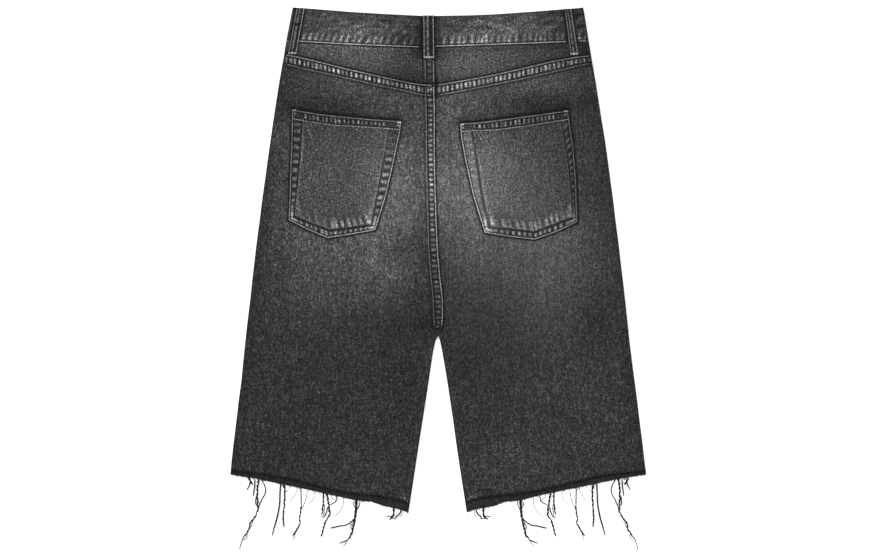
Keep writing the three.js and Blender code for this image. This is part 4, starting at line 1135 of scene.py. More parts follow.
def make_yoke(side):
    n_rows = 44
    edge, low = YOKE_EDGE[side], BAND_LOW
    outs = 293.1, float(interp(side_x(309, side), low)) - 0.3
    X, Y = [], []
    for k in range(n_rows + 1):
        f = k / n_rows
        y_out = outs[0] + (outs[1] - outs[0]) * f
        y_mid = 253.8 + (302.2 - 253.8) * f
        x0, x1 = float(side_x(y_out, side)), float(middle_x(y_mid, side))
        t = row_shares(abs(x1 - x0), 160)
        x = x0 + (x1 - x0) * t
        bottom = interp(x, edge) + 0.35
        top = interp(x, low) - 0.35
        X.append(x)
        Y.append(bottom + (top - bottom) * f)
    x, y = np.array(X), np.array(Y)
    d0 = np.abs(x - x[:, :1])
    z, shade = yoke_form(x, y, side)
    meet = side_meet(y) + GAP / 2
    r = rounded(d0)
    lip = meet + EDGE_LIP
    top = np.where(d0 < EDGE_ROUND, lip + (z - lip) * r, z)
    under = np.where(d0 < EDGE_ROUND, meet + (back_under(y) - meet) * r, back_under(y))
    mark, lift = marks(x, y)
    # darker toward the outseam: darker dye over a wide band, and painted shade right at the edge where the cloth turns
    # down
    level = wash_and_shade(x, y) - 8.0 * bell(d0, 0, 16) - 8.0 * bell(d0, 0, 1.6)
    tone = dye(np.clip(level * np.clip(shade, 0.12, 2.6) + mark, 8, 210))
    obj = sheet_mesh(f"yoke_{side}_cloth", np.stack([x, y, top], -1),
                     np.stack([x, y, np.minimum(under, top - 0.35)], -1), tone, np.full(x.shape, dye(INSIDE_LEVEL)))
    return finish_piece(obj, DENIM_MAT, [f"yoke_{side}"], flat=(0.205, 0.056))


def make_pocket(side):
    p = POCKETS[side]
    nu, nv = 128, 148
    u = np.concatenate([[0, 0.002, 0.005, 0.009, 0.014], np.linspace(0.02, 0.98, nu), [0.986, 0.991, 0.995, 0.998, 1]])
    v = np.concatenate([[0, 0.002, 0.005, 0.009], np.linspace(0.014, 0.986, nv), [0.991, 0.995, 0.998, 1]])
    along = lambda key, t: np.stack(resample_at(p[key], t), -1)
    top, low = along("top", u), along("low", u)
    left, right = along("left", v), along("right", v)
    U, V = np.meshgrid(u, v)
    blend = ((1 - V)[..., None] * top[None] + V[..., None] * low[None] + (1 - U)[..., None] * left[:, None]
             + U[..., None] * right[:, None])
    corners = ((1 - U) * (1 - V))[..., None] * top[0] + (U * (1 - V))[..., None] * top[-1] \
        + ((1 - U) * V)[..., None] * low[0] + (U * V)[..., None] * low[-1]
    P = blend - corners
    x, y = P[..., 0], P[..., 1]
    h, shade = pocket_form(x, y, side)
    base = back_top(y) + GAP
    mark, lift = marks(x, y)
    h = h + lift
    tone = dye(np.clip(wash_and_shade(x, y) * np.clip(shade, 0.12, 2.6) + mark, 8, 210))
    obj = sheet_mesh(f"pocket_{side}_cloth", np.stack([x, y, base + h], -1), np.stack([x, y, base], -1),
                     tone, np.full(x.shape, dye(INSIDE_LEVEL)))
    return finish_piece(obj, DENIM_MAT, [f"pocket_{side}"], flat=(0.152, 0.166))


def resample_at(points, t):
    seg = np.hypot(*np.diff(points, axis=0).T)
    s = np.concatenate([[0], np.cumsum(seg)]) / seg.sum()
    return np.interp(t, s, points[:, 0]), np.interp(t, s, points[:, 1])


# -------------------------------------------------------------------- waistband
BAND_FRONT_TOP = np.array([(-190, 353.3), (-142, 345.4), (-95, 339.6), (-47, 334.4), (0, 331.8), (47, 334.4),
                           (95, 339.6), (142, 345.4), (190, 353.3)])
BAND_FRONT_LOW = np.array([(-199, 310.0), (-150, 303.2), (-100, 297.2), (-50, 292.4), (0, 290.2), (50, 292.4),
                           (100, 297.2), (150, 303.2), (199, 310.0)])


def make_waistband():
    rows = 36
    f = np.concatenate([[0, 0.006, 0.016, 0.03], np.linspace(0.05, 0.95, rows), [0.97, 0.984, 0.994, 1]])
    middle, radius = (BAND_BACK_TOP + WAIST_LIFT) / 2, (BAND_BACK_TOP - WAIST_LIFT) / 2
    out_pts, in_pts, tones = [], [], []

    def column(xl, yl, xt, yt, zo, zi, xi_shift=0.0, form=False):
        x = xl + (xt - xl) * f
        y = yl + (yt - yl) * f
        zo = np.full(f.shape, float(zo))
        shade = np.ones(f.shape)
        if form:
            top, shade = band_form(x, y)
            zo = top
        out_pts.append(np.stack([x, y, zo], -1))
        in_pts.append(np.stack([x + xi_shift, y, np.full(f.shape, float(zi))], -1))
        level = (wash_and_shade(x, y) - (8.0 if not form else 0.0)) * np.clip(shade, 0.12, 2.6)
        if form:
            for table in (MARKS, BAND_CREASES):
                mark, lift = marks(x, y, table)
                level = level + mark
                out_pts[-1][:, 2] += lift
        tones.append(dye(np.clip(level, 8, 210)))

    lapped = BAND_FRONT + GAP
    fo, fi, bi = WAIST_LIFT, WAIST_LIFT + BAND_FRONT, BAND_BACK_TOP - BAND_BACK
    for x in np.linspace(BAND_UNDERLAP, -188, 70):
        share = np.clip(-x / 188, 0, 1)
        xt = x + 9.0 * share ** 2 * (1 if x < 0 else 0)
        column(x - 5 * share ** 4, interp(x, BAND_FRONT_LOW), xt, interp(xt, BAND_FRONT_TOP), fo, fi)
    for side, sign in (("left", -1), ("right", 1)):
        angles = np.linspace(-90, 90, 19) if side == "left" else np.linspace(90, -90, 19)
        for angle in angles:
            c, s = math.cos(math.radians(angle)), math.sin(math.radians(angle))
            thick = BAND_FRONT + (BAND_BACK - BAND_FRONT) * (s + 1) / 2
            low_y = float(interp(sign * 198.0, BAND_LOW)) * (s + 1) / 2 + 310.0 * (1 - (s + 1) / 2)
            hub_l = float(side_x(low_y, side)) - sign * radius
            hub_t = float(side_x(353.2, side)) - sign * radius
            column(hub_l + sign * radius * c, low_y, hub_t + sign * radius * c, 353.2, middle + radius * s,
                   middle + (radius - thick) * s, -sign * thick * c)
        if side == "left":
            xs = np.linspace(0, 1, 340)[1:-1]
            left_l, right_l = float(side_x(309, "left")) + radius, float(side_x(309, "right")) - radius
            left_t, right_t = float(side_x(353.2, "left")) + radius, float(side_x(353.2, "right")) - radius
            for t in xs:
                xl, xt = left_l + (right_l - left_l) * t, left_t + (right_t - left_t) * t
                column(xl, float(interp(xl, BAND_LOW)), xt, float(interp(xt, BAND_TOP)), BAND_BACK_TOP, bi,
                       form=True)
    for x in np.concatenate([np.linspace(188, BAND_UNDERLAP + 7, 60), [BAND_UNDERLAP + 5.5]]):
        share = np.clip(x / 188, 0, 1)
        xt = x - 9.0 * share ** 2
        column(x + 5 * share ** 4, interp(x, BAND_FRONT_LOW), xt, interp(xt, BAND_FRONT_TOP), fo, fi)
    for x, k in [(BAND_UNDERLAP + 4.5, 0.2), (BAND_UNDERLAP + 3.2, 0.55), (BAND_UNDERLAP + 2, 0.85),
                 (BAND_UNDERLAP + 1, 1.0)] + [(q, 1.0) for q in np.linspace(BAND_UNDERLAP - 1, -BAND_UNDERLAP, 14)]:
        column(x, interp(x, BAND_FRONT_LOW), x, interp(x, BAND_FRONT_TOP), fo + lapped * k, fi + lapped * k)
    outer, inner = np.array(out_pts), np.array(in_pts)
    obj = sheet_mesh("waistband_cloth", outer, inner, np.array(tones), np.full(outer.shape[:2], dye(INSIDE_LEVEL)), 3)
    return finish_piece(obj, DENIM_MAT, ["waistband"], flat=(0.83, 0.044))


# -------------------------------------------------------------------- belt loops
def loop_mesh(name, top, end, width, height, thick, down=False, node=None, reach_break=None, ridge_at=0.38):
    """A folded strip, its ridge off the middle. width is its width at the top
    and at the end, and height gives what it lies on."""
    across = np.concatenate([[0, 0.02, 0.06], np.linspace(0.1, 0.9, 23), [0.94, 0.98, 1]])
    along = np.linspace(0, 1, 66)
    A, L = np.meshgrid(across, along)
    (x0, y0), (x1, y1) = top, end
    wide = width[0] + (width[1] - width[0]) * L
    y = y0 + (y1 - y0) * L
    x = x0 + (x1 - x0) * L + (A - 0.5) * wide
    e = A * wide
    centre = 1.2 + (wide - 2.4) * ridge_at
    ridge = bell(e, centre, wide * 0.105)
    lines = bell(e, 1.2, 0.8) + bell(e, wide - 1.2, 0.8)
    narrow = bell(e, (1.2 + centre) * 0.5 + 0.1, 0.85)
    broad = smooth(centre + 1.2, centre + 2.6, e) * (1 - smooth(wide - 3.2, wide - 1.9, e))
    rope = Ropes(y1 - 5, y0 + 5, 7.5, 90 + len(name))(y)
    h = thick - 0.30 + 0.12 * lines + 0.32 * ridge * (0.75 + 0.4 * rope) - 0.42 * (narrow + broad)
    h = h - (thick * 0.55) * (1 - rounded(np.minimum(e, wide - e) * 2.6))
    h = h - 0.35 * (bell(L, 0, 0.012) + bell(L, 1, 0.012))
    # paler worn ridge; the low valleys by the stitches are darker, unworn dye and painted shade
    shade = (1 + 0.85 * ridge * (0.6 + 0.4 * rope)) * (1 - 0.55 * narrow) * (1 - 0.52 * broad) * (1 + 0.10 * lines)
    # painted shade along both rounded edges
    shade = shade * (1 - 0.35 * bell(np.minimum(e, wide - e), 0, 0.7))
    # a kink across the loop: a shallow dip with painted shade in it
    if reach_break is not None:
        shade = shade * (1 - 0.7 * bell(y, reach_break, 1.8))
        h = h - 0.3 * bell(y, reach_break, 1.6)
    base = height(x, y)
    level = np.maximum(wash_and_shade(x, y), 66) * 0.98
    tone = dye(np.clip(level * np.clip(shade, 0.12, 2.6), 8, 210))
    if down:
        outer, inner = base - h, base
    else:
        outer, inner = base + h, base
    obj = sheet_mesh(name, np.stack([x, y, outer], -1), np.stack([x, y, inner], -1), tone,
                     np.full(x.shape, dye(INSIDE_LEVEL)))
    return finish_piece(obj, DENIM_MAT, [node], flat=(max(width) / 1000, (y0 - y1) / 1000))


def loop_height(x, y):
    """What the back belt loops lie on: the waistband, then down to the yoke."""
    low = interp(x, BAND_LOW)
    on_band = BAND_BACK_TOP + GAP
    on_yoke = back_top(y) + GAP
    k = smooth(0.5, 6.5, low - y)
    return on_band * (1 - k) + on_yoke * k


# ------------------------------------------------------------------- the fronts
FRONT_ROWS = [
    (301.4, 289.6, 0, 0), (285, 276, 0, 0), (262, 256, 0, 0), (245, 240, 0, 0), (235, 230, 0, 0), (231, 222, 0, 0),
    (222, 205, 0, 0), (181, 168, 0, 0), (103, 130, 0, 0), (25, 38, 0, 0), (-53, -60, 0, 0), (-73.75, -73.75, 0, 0),
    (-84, -84, 0, 0), (-105, -105, 0, 0), (-157, -160, 0, 0), (-209, -226, 0, 0.5), (-238, -274, 0, 0.9),
    (-254.6, -305.0, 0, 1)]
MOUTH = np.array([(228, 0), (231, 0), (235, 14), (245, 36), (262, 52), (285, 59), (301.6, 61), (330, 62)], float)
FLY_EDGE = np.array([(-60, 0.6), (130, 4.0), (310, 4.0)])


def front_outer_x(y, side):
    inset = np.interp(y, MOUTH[:, 0], MOUTH[:, 1])
    return side_x(y, side) + (inset if side == "left" else -inset)


def front_middle_x(y, side):
    low = middle_x(y, side)
    high = np.interp(y, FLY_EDGE[:, 0], FLY_EDGE[:, 1]) + (0 if side == "left" else 0.3)
    return np.where(np.asarray(y) > -61, high, low)


def make_front(side):
    rows = panel_rows(FRONT_ROWS, side, 3.2, 3.6, None, HEM_FRONT[side], -80)
    x, y, d0, d1 = leg_grid(rows, side, 66, None, HEM_FRONT[side], front_outer_x, front_middle_x)
    y = np.minimum(y, interp(x, BAND_FRONT_LOW) - 0.4)
    crotch = my(336)
    sewn = (rows[:, 0] <= 222.5)[:, None]
    below = (rows[:, 1] <= crotch + 0.5)[:, None]
    d = np.minimum(np.where(sewn, d0, 99), np.where(below, d1, 99))
    meet = side_meet(y) - GAP / 2
    r = rounded(d)
    lip = meet - EDGE_LIP
    down = np.where(d < EDGE_ROUND, lip + (front_under(y) - lip) * r, front_under(y)) + 0.35
    up = np.where(d < EDGE_ROUND, meet + (front_under(y) + DENIM - meet) * r, front_under(y) + DENIM)
    hem = y - interp(x, HEM_FRONT[side])
    # the cut hem below the back's: cloth from the inside, dark, with a painted shadow just under the back's hem and
    # darker at its own frayed edge
    peek = interp(x, HEM_BACK[side]) - y
    inside = INSIDE_LEVEL - 12.0 * bell(peek, 0, 3) - 8 * bell(hem, 0, 2.0) + 5.0 * value_noise(x, y, 3, 2.4, 38)
    up = up + 0.35 * bell(hem, 0, 6) + 0.25 * value_noise(x, y, 3, 5, 39) * bell(hem, 0, 8)
    outer_level = wash_and_shade(x, y) * 0.9 - 6.0 * bell(d0, 0, 16)
    obj = sheet_mesh(f"front_{side}_cloth", np.stack([x, y, up], -1), np.stack([x, y, down], -1), dye(inside),
                     dye(outer_level), 1)
    return finish_piece(obj, FRONT_MAT, [f"front_{side}"], flat=(0.275, 0.607))


def make_facing(side):
    sign = 1 if side == "left" else -1
    table = np.array([(309.9, 299.0, 76), (285, 278, 78), (262, 254, 82), (245, 233, 86), (229.5, 214, 88)])
    X, Y = [], []
    for f in np.linspace(0, 1, 30):
        k = f * 4
        out, mid, width = [np.interp(k, range(5), table[:, c]) for c in range(3)]
        x0 = float(side_x(out, side))
        t = row_shares(width, 26)
        x = x0 + sign * width * t
        y = out + (mid - out) * t
        X.append(x)
        Y.append(np.minimum(y, interp(x, BAND_FRONT_LOW) - 0.4))
    x, y = np.array(X), np.array(Y)
    d = np.abs(x - x[:, :1])
    down = front_under(y) + DENIM + GAP
    meet = side_meet(y) - GAP / 2
    up = np.where(d < EDGE_ROUND, meet + (down + DENIM - meet) * rounded(d), down + DENIM)
    obj = sheet_mesh(f"pocket_facing_{side}_cloth", np.stack([x, y, down], -1), np.stack([x, y, up], -1),
                     dye(wash_and_shade(x, y) * 0.82), np.full(x.shape, dye(INSIDE_LEVEL)), 2)
    return finish_piece(obj, FRONT_MAT, [f"pocket_facing_{side}"], flat=(0.09, 0.097))


for side in ("left", "right"):
    make_back(side)
    make_yoke(side)
    make_pocket(side)
    make_front(side)
    make_facing(side)
make_waistband()

LOOPS = {
    "belt_loop_back_centre": (at([(428.5, 15.6)])[0], at([(429.0, 58.3)])[0], (14.4, 14.8), None),
    "belt_loop_back_left": (at([(300.7, 8.4)])[0], at([(292.4, 54.2)])[0], (11.4, 11.8), my(24.5)),
    "belt_loop_back_right": (at([(567.9, 8.9)])[0], at([(574.3, 55.0)])[0], (9.2, 11.0), None),
}
for name, (top, end, width, broken) in LOOPS.items():
    loop_mesh(name + "_cloth", top, end, width, loop_height, 1.5, node=name, reach_break=broken)
for name, x in (("belt_loop_front_left", -96.0), ("belt_loop_front_right", 96.0)):
    top_y = float(interp(x, BAND_FRONT_TOP))
    low_y = float(interp(x, BAND_FRONT_LOW)) - 13
    loop_mesh(name + "_cloth", (x, top_y), (x, low_y), (14.0, 14.0),
              lambda px, py: np.full(np.shape(py), WAIST_LIFT - GAP), 1.5, down=True, node=name, ridge_at=0.5)


# --------------------------------------------------------------------- stitches
def offset_line(points, distance):
    """The line moved sideways, to its left."""
    fine, _ = resample(points, 2.0)
    t = np.gradient(fine, axis=0)
    t /= np.linalg.norm(t, axis=1, keepdims=True)
    return fine + distance * np.stack([-t[:, 1], t[:, 0]], 1)


def back_surface(side):
    return lambda x, y: back_form(np.asarray(x), np.asarray(y), side)[0]


# waistband, just above its low edge
low_line = offset_line(BAND_LOW, 1.0)
keep = (low_line[:, 0] > mx(288.5)) & (low_line[:, 0] < mx(588))
low_line = low_line[keep]
for a, b in ((mx(297.4), mx(419.5)), (mx(434.8), mx(567.0)), (mx(578.5), mx(588))):
    part = low_line[(low_line[:, 0] > a) & (low_line[:, 0] < b)]
    stitch(part, lambda x, y: band_form(x, y)[0], level=200, gap=0.35, radius=0.55)
# yoke seams
for side in ("left", "right"):
    edge = YOKE_EDGE[side]
    a, b = (mx(285.5), mx(433.0)) if side == "left" else (mx(438.2), mx(590.5))
    fine, _ = resample(edge, 3.0)
    for depth, level, gap in ((1.35, 168, 0.45), (None, 142, 0.9)):
        if depth is None:
            depth = yoke_width(fine[:, 0], side) - 1.3
            slope = np.gradient(fine[:, 1], fine[:, 0])
            line = np.stack([fine[:, 0] + depth * slope * 0.95, fine[:, 1] - depth * 1.0], 1)
        else:
            line = offset_line(edge, -depth)
        line = line[(line[:, 0] > a) & (line[:, 0] < b)]
        stitch(line, back_surface(side), level=level, gap=gap)
# seat seam, and the short seam through the yoke above it
ys = np.arange(my(86.5), my(326), -1.5)
stitch(np.stack([fold_x(ys) - 1.5, ys], 1), back_surface("left"), level=182, gap=0.4, radius=0.55)
stitch(np.stack([fold_x(ys) - seat_width(ys) + 1.3, ys], 1), back_surface("left"), level=136, gap=0.7)
ys = np.arange(my(60.5), my(82.6), -1.5)
upper = lambda x, y: yoke_form(x, y, "left")[0]
stitch(np.stack([fold_x(ys) - 1.5, ys], 1), upper, level=160, gap=0.4, radius=0.55)
stitch(np.stack([fold_x(ys) - seat_width(ys) + 1.3, ys], 1), upper, level=150, gap=0.5)
# pockets: the level of each row of stitches; the low inner rows are thread painted dark for the shade in their grooves
POCKET_THREAD = {
    "left": {"top": 148, "top_in": 172, "left": 142, "right": 186, "low": 172, "left_in": 140, "right_in": 130,
             "low_in": 62},
    "right": {"top": 148, "top_in": 172, "left": 200, "right": 128, "low": 158, "left_in": 78, "right_in": 108,
              "low_in": 62},
}
for side in ("left", "right"):
    p, level = POCKETS[side], POCKET_THREAD[side]
    surface = lambda x, y, s=side: back_top(np.asarray(y)) + GAP + pocket_form(np.asarray(x), np.asarray(y), s)[0]
    stitch(offset_line(p["top"], -1.2), surface, level=level["top"], gap=0.4)
    stitch(p["top_in"][:], surface, level=level["top_in"], gap=0.7, radius=0.5)
    stitch(offset_line(p["left"], 1.3)[1:], surface, level=level["left"], gap=0.5)
    stitch(offset_line(p["right"], -1.3)[1:], surface, level=level["right"], gap=0.4, radius=0.48)
    stitch(offset_line(p["low"], 1.0), surface, level=level["low"], gap=0.4, radius=0.55)
    for key in ("left_in", "right_in", "low_in"):
        stitch(p[key], surface, level=level[key], gap=0.8, radius=0.42)
    # bar tacks at the top corners
    tl, tr = p["top"][0], p["top"][-1]
    strong = {"left": (165, 225), "right": (225, 160)}[side]
    for (cx, cy), sign, bright in ((tl, 1, strong[0]), (tr, -1, strong[1])):
        bar_tack(cx + sign * 0.9, cy - 1.5, cx + sign * 5.2, cy - 1.6, surface, 2.0, bright)
        bar_tack(cx + sign * 3.2, cy - 5.6, cx + sign * 5.6, cy - 6.2, surface, 1.8, bright * 0.8)
# belt loops
for name, (top, end, width, _) in LOOPS.items():
    surface = lambda x, y: loop_height(np.asarray(x), np.asarray(y)) + 1.3
    for s in (-1, 1):
        a, b = s * (width[0] / 2 - 1.2), s * (width[1] / 2 - 1.2)
        bright = 168 if s > 0 or "centre" in name else 138
        stitch(np.array([[top[0] + a, top[1] - 0.6], [end[0] + b, end[1] + 1.5]]), surface, level=bright, gap=0.4)
    bar_tack(end[0] - width[1] / 2 + 0.8, end[1] + 1.2, end[0] - 2.2, end[1] + 1.2, surface, 2.2, 168)
    bar_tack(end[0] - 1.4, end[1] + 1.2, end[0] + 1.2, end[1] + 1.2, surface, 2.4, 215)
    bar_tack(end[0] + 2.2, end[1] + 1.2, end[0] + width[1] / 2 - 0.8, end[1] + 1.2, surface, 2.2, 168)
# the front: fly, pocket mouths, waistband
flat = lambda x, y: front_under(np.asarray(y)) + 0.62
ys = np.linspace(286, 150, 40)
curve = np.concatenate([np.stack([np.full(40, -34.0), ys], 1),
                        np.stack([-34 + 36 * np.sin(np.linspace(0, math.pi / 2, 14)) ** 1.4,
                                  150 - 24 * (1 - np.cos(np.linspace(0, math.pi / 2, 14)))], 1)])
for shift in (0, 5.5):
    stitch(curve + np.array([shift, shift * 0.3]), flat, level=118, sign=-1, radius=0.36)
ys = np.linspace(285, -66, 120)
stitch(np.stack([np.interp(ys, FLY_EDGE[:, 0], FLY_EDGE[:, 1]) - 1.6, ys], 1), flat, level=112, sign=-1, radius=0.36)
for side in ("left", "right"):
    s = 1 if side == "left" else -1
    for inset in (1.8, 7.5):
        pts = [(float(front_outer_x(y, side)) + s * inset, y - inset * 0.5) for y in np.linspace(298, 236, 24)]
        stitch(pts, flat, level=116, sign=-1, radius=0.36)
    xs = np.linspace(-194, -2, 60) if side == "left" else np.linspace(2, 194, 60)
    band = lambda x, y: np.full(np.shape(y), WAIST_LIFT + 0.3)
    stitch(np.stack([xs, interp(xs, BAND_FRONT_LOW) + 1.9], 1), band, level=120, sign=-1, radius=0.36)
STITCHES_OBJ = STITCHES.build("seam_stitches")
finish_piece(STITCHES_OBJ, SEAM_THREAD)


# ---------------------------------------------------------------- loose threads
THREADS = Soup()
# Each is its points as (u, v), how many yarns lie together in it, the
# thickness of one in mm, and how dark it looks.
LOOSE = [
    ([(248.6, 477.8), (251.6, 483.5), (252.6, 485.2)], 2, 0.85, 24),
    ([(250.2, 480.6), (249.4, 485.0), (246.7, 490.5)], 1, 0.9, 40),
    ([(258.8, 478.9), (257.6, 487.0), (257.2, 496.1), (257.6, 507.3), (256.2, 515.8)], 2, 0.85, 22),
    ([(256.2, 515.0), (252.8, 519.8), (250.2, 522.8), (249.4, 526.2), (248.8, 529.8), (243.9, 536.8), (241.6, 541.2)],
     2, 0.75, 34),
    ([(241.9, 540.4), (240.3, 545.2), (239.4, 550.2)], 1, 0.6, 78),
    ([(252.4, 521.0), (251.6, 525.6), (249.2, 528.2)], 1, 0.5, 70),
    ([(246.4, 533.4), (247.0, 537.0), (243.4, 541.0)], 1, 0.5, 84),
    ([(261.4, 480.0), (264.4, 485.0), (265.6, 490.5), (264.4, 495.0), (262.1, 498.9), (258.9, 506.4),
      (257.8, 513.0)], 1, 0.85, 46),
    ([(254.9, 479.8), (254.5, 487.0), (253.6, 492.4), (253.3, 496.6)], 1, 0.95, 52),
    ([(256.4, 496.0), (255.4, 501.6), (256.2, 506.2)], 1, 0.8, 40),
    ([(280.5, 484.0), (280.0, 492.0), (279.6, 503.1), (278.4, 511.0), (276.8, 518.6), (274.2, 527.4),
      (271.9, 536.1)], 1, 1.15, 34),
    ([(283.6, 484.0), (284.5, 487.6), (284.7, 494.0), (284.3, 503.1), (283.5, 511.0)], 2, 0.8, 24),
    ([(283.6, 510.0), (283.1, 518.6), (283.5, 523.2), (283.9, 527.4)], 1, 1.15, 28),
    ([(300.8, 487.4), (301.0, 497.6), (301.2, 507.3)], 1, 0.8, 72),
    ([(301.2, 506.0), (300.4, 512.6), (299.3, 518.6), (299.9, 522.0), (299.4, 525.4)], 2, 0.65, 36),
    ([(299.5, 524.6), (296.0, 531.0), (292.3, 536.1)], 1, 1.15, 28),
    ([(298.8, 527.0), (295.4, 533.0), (292.9, 541.2)], 1, 0.5, 110),
    ([(297.6, 487.0), (296.0, 493.0), (292.0, 499.0), (288.4, 503.4)], 1, 0.42, 120),
    ([(307.4, 490.6), (306.0, 498.0), (303.6, 505.2), (301.0, 509.4)], 1, 0.5, 110),
    ([(314.0, 491.4), (314.8, 496.4), (312.0, 501.2), (307.6, 505.0)], 1, 0.4, 130),
    ([(291.0, 486.0), (288.0, 490.0), (284.6, 493.0)], 1, 0.35, 130),
    ([(323.2, 492.4), (323.3, 498.0), (323.1, 503.1), (322.4, 509.2), (321.4, 514.8)], 2, 0.7, 34),
    ([(326.4, 493.6), (327.6, 497.8), (328.7, 505.9), (329.6, 511.2), (328.9, 516.4), (325.2, 521.4)], 2, 0.85, 20),
    ([(325.6, 520.6), (324.0, 526.0), (323.1, 529.8), (321.0, 536.8)], 2, 0.75, 28),
    ([(327.6, 507.0), (326.6, 511.6), (324.2, 516.6), (320.6, 517.0)], 1, 0.8, 48),
    ([(324.0, 504.0), (324.4, 509.0), (323.2, 516.0)], 1, 0.5, 70),
    ([(336.9, 496.4), (336.3, 500.6), (333.6, 503.0), (329.8, 505.0)], 1, 0.8, 56),
    ([(331.0, 494.8), (332.4, 498.4), (336.4, 500.6)], 1, 0.45, 90),
    ([(343.6, 498.0), (343.0, 504.6), (340.7, 510.2), (336.8, 514.4), (331.9, 517.4)], 1, 0.42, 110),
    ([(356.3, 499.6), (356.2, 505.4), (355.8, 510.2), (355.4, 514.6), (354.7, 519.6)], 3, 1.05, 16),
    ([(354.9, 518.6), (353.8, 524.6), (352.6, 529.8), (350.9, 535.6), (348.8, 538.4)], 2, 0.95, 20),
    ([(350.2, 536.0), (347.4, 540.0), (343.5, 541.8), (338.8, 543.4)], 1, 0.9, 44),
    ([(347.6, 539.6), (345.6, 543.4), (342.8, 547.0)], 1, 0.5, 96),
    ([(354.4, 501.6), (353.0, 503.6), (355.4, 508.6)], 1, 0.6, 66),
    ([(359.8, 501.4), (359.4, 505.4), (356.8, 510.6)], 1, 0.6, 66),
    ([(354.2, 518.9), (351.0, 522.0), (347.7, 524.2), (344.4, 525.6), (340.7, 525.9), (335.2, 527.2),
      (330.1, 528.3)], 1, 0.95, 42),
    ([(336.4, 526.8), (333.0, 527.6), (330.4, 528.2)], 1, 1.0, 30),
    ([(352.6, 523.0), (350.6, 526.6), (351.6, 530.0)], 1, 0.55, 70),
    ([(393.4, 506.6), (393.7, 511.8), (393.0, 516.4), (391.0, 518.2), (388.8, 519.8)], 2, 0.85, 22),
    ([(401.2, 510.0), (399.6, 513.8), (396.4, 516.4), (395.0, 517.4)], 1, 1.05, 36),
    ([(393.2, 516.4), (389.0, 516.2), (385.4, 517.2)], 1, 0.7, 66),
    ([(392.0, 518.2), (395.6, 518.8), (397.4, 517.0)], 1, 0.6, 66),
    ([(402.6, 511.6), (402.2, 514.6), (399.4, 517.2)], 1, 0.45, 100),
]
RIGHT_SHIFT = 877.0          # the right leg's threads mirror the left leg's


def spline(points, per=6):
    p = np.asarray(points, float)
    p = np.concatenate([[2 * p[0] - p[1]], p, [2 * p[-1] - p[-2]]])
    out = []
    for i in range(1, len(p) - 2):
        for t in np.arange(per) / per:
            a, b, c, d = p[i - 1], p[i], p[i + 1], p[i + 2]
            out.append(0.5 * ((2 * b) + (c - a) * t + (2 * a - 5 * b + 4 * c - d) * t ** 2
                              + (3 * b - a - 3 * c + d) * t ** 3))
    out.append(p[-2])
    return np.array(out)


for mirror in (False, True):
    rng = np.random.default_rng(61 + mirror)
    for points, yarns, thick, level in LOOSE:
        pts = np.array(points, float)
        if mirror:
            pts[:, 0] = RIGHT_SHIFT - pts[:, 0] + rng.uniform(-0.3, 0.3)
        line = spline(pts)
        xy = at(line)
        s = np.concatenate([[0], np.cumsum(np.hypot(*np.diff(xy, axis=0).T))])
        fine = np.arange(0, s[-1], 0.75)
        xy = np.stack([np.interp(fine, s, xy[:, 0]), np.interp(fine, s, xy[:, 1])], 1)
        s = fine
        t = np.gradient(xy, axis=0)
        t /= np.linalg.norm(t, axis=1, keepdims=True) + 1e-9
        normal = np.stack([-t[:, 1], t[:, 0]], 1)
        start = rng.uniform(0, 6)
        thick, level = thick * 1.9, level * 0.6
        for k in range(yarns):
            turn = s * 0.55 * (1 + 0.1 * k) + start + k * 2 * math.pi / yarns
            apart = 0.0 if yarns == 1 else thick * (0.42 + 0.08 * np.sin(s * 0.31 + k))
            wiggle = 0.16 * np.sin(s * 1.3 + start + k) + 0.10 * np.sin(s * 2.9 + 2 * start + k)
            path = xy + (apart * np.cos(turn) + wiggle)[:, None] * normal
            r = thick / 2 * (1 - 0.3 * smooth(0.75, 1.0, s / s[-1])) * (1 + 0.16 * np.sin(s * 1.9 + start + 2 * k))
            z = 0.25 + (0.75 if yarns > 1 else 0.35) * thick + 0.9 * np.exp(-s / 5.0) + apart * 0.55 * np.sin(turn)
            z = np.maximum(z + 0.12 * np.sin(s * 0.25 + start), r + 0.08)
            shade = level * (1 + 0.22 * np.sin(s * 0.9 + k * 2 + start))
            THREADS.tube(np.stack([path[:, 0], path[:, 1], z], 1), r, 6, dye(shade))
    # a knot at the top of one thread, and a thick tangle on another
    for (u, v), size in (((283.9, 487.2), 1.7), ((356.2, 511.0), 1.2), ((301.0, 508.0), 1.0)):
        u = RIGHT_SHIFT - u if mirror else u
        turn = np.linspace(0, 4.2 * math.pi, 60)
        x0, y0 = at([(u, v)])[0]
        knot = np.stack([x0 + size * 0.55 * np.sin(turn) * (1 + 0.2 * np.sin(2.3 * turn)),
                         y0 + size * 0.8 * np.cos(turn * 1.13), 1.1 + 0.5 * np.sin(turn * 1.7)], 1)
        THREADS.tube(knot, 0.55, 6, dye(20))

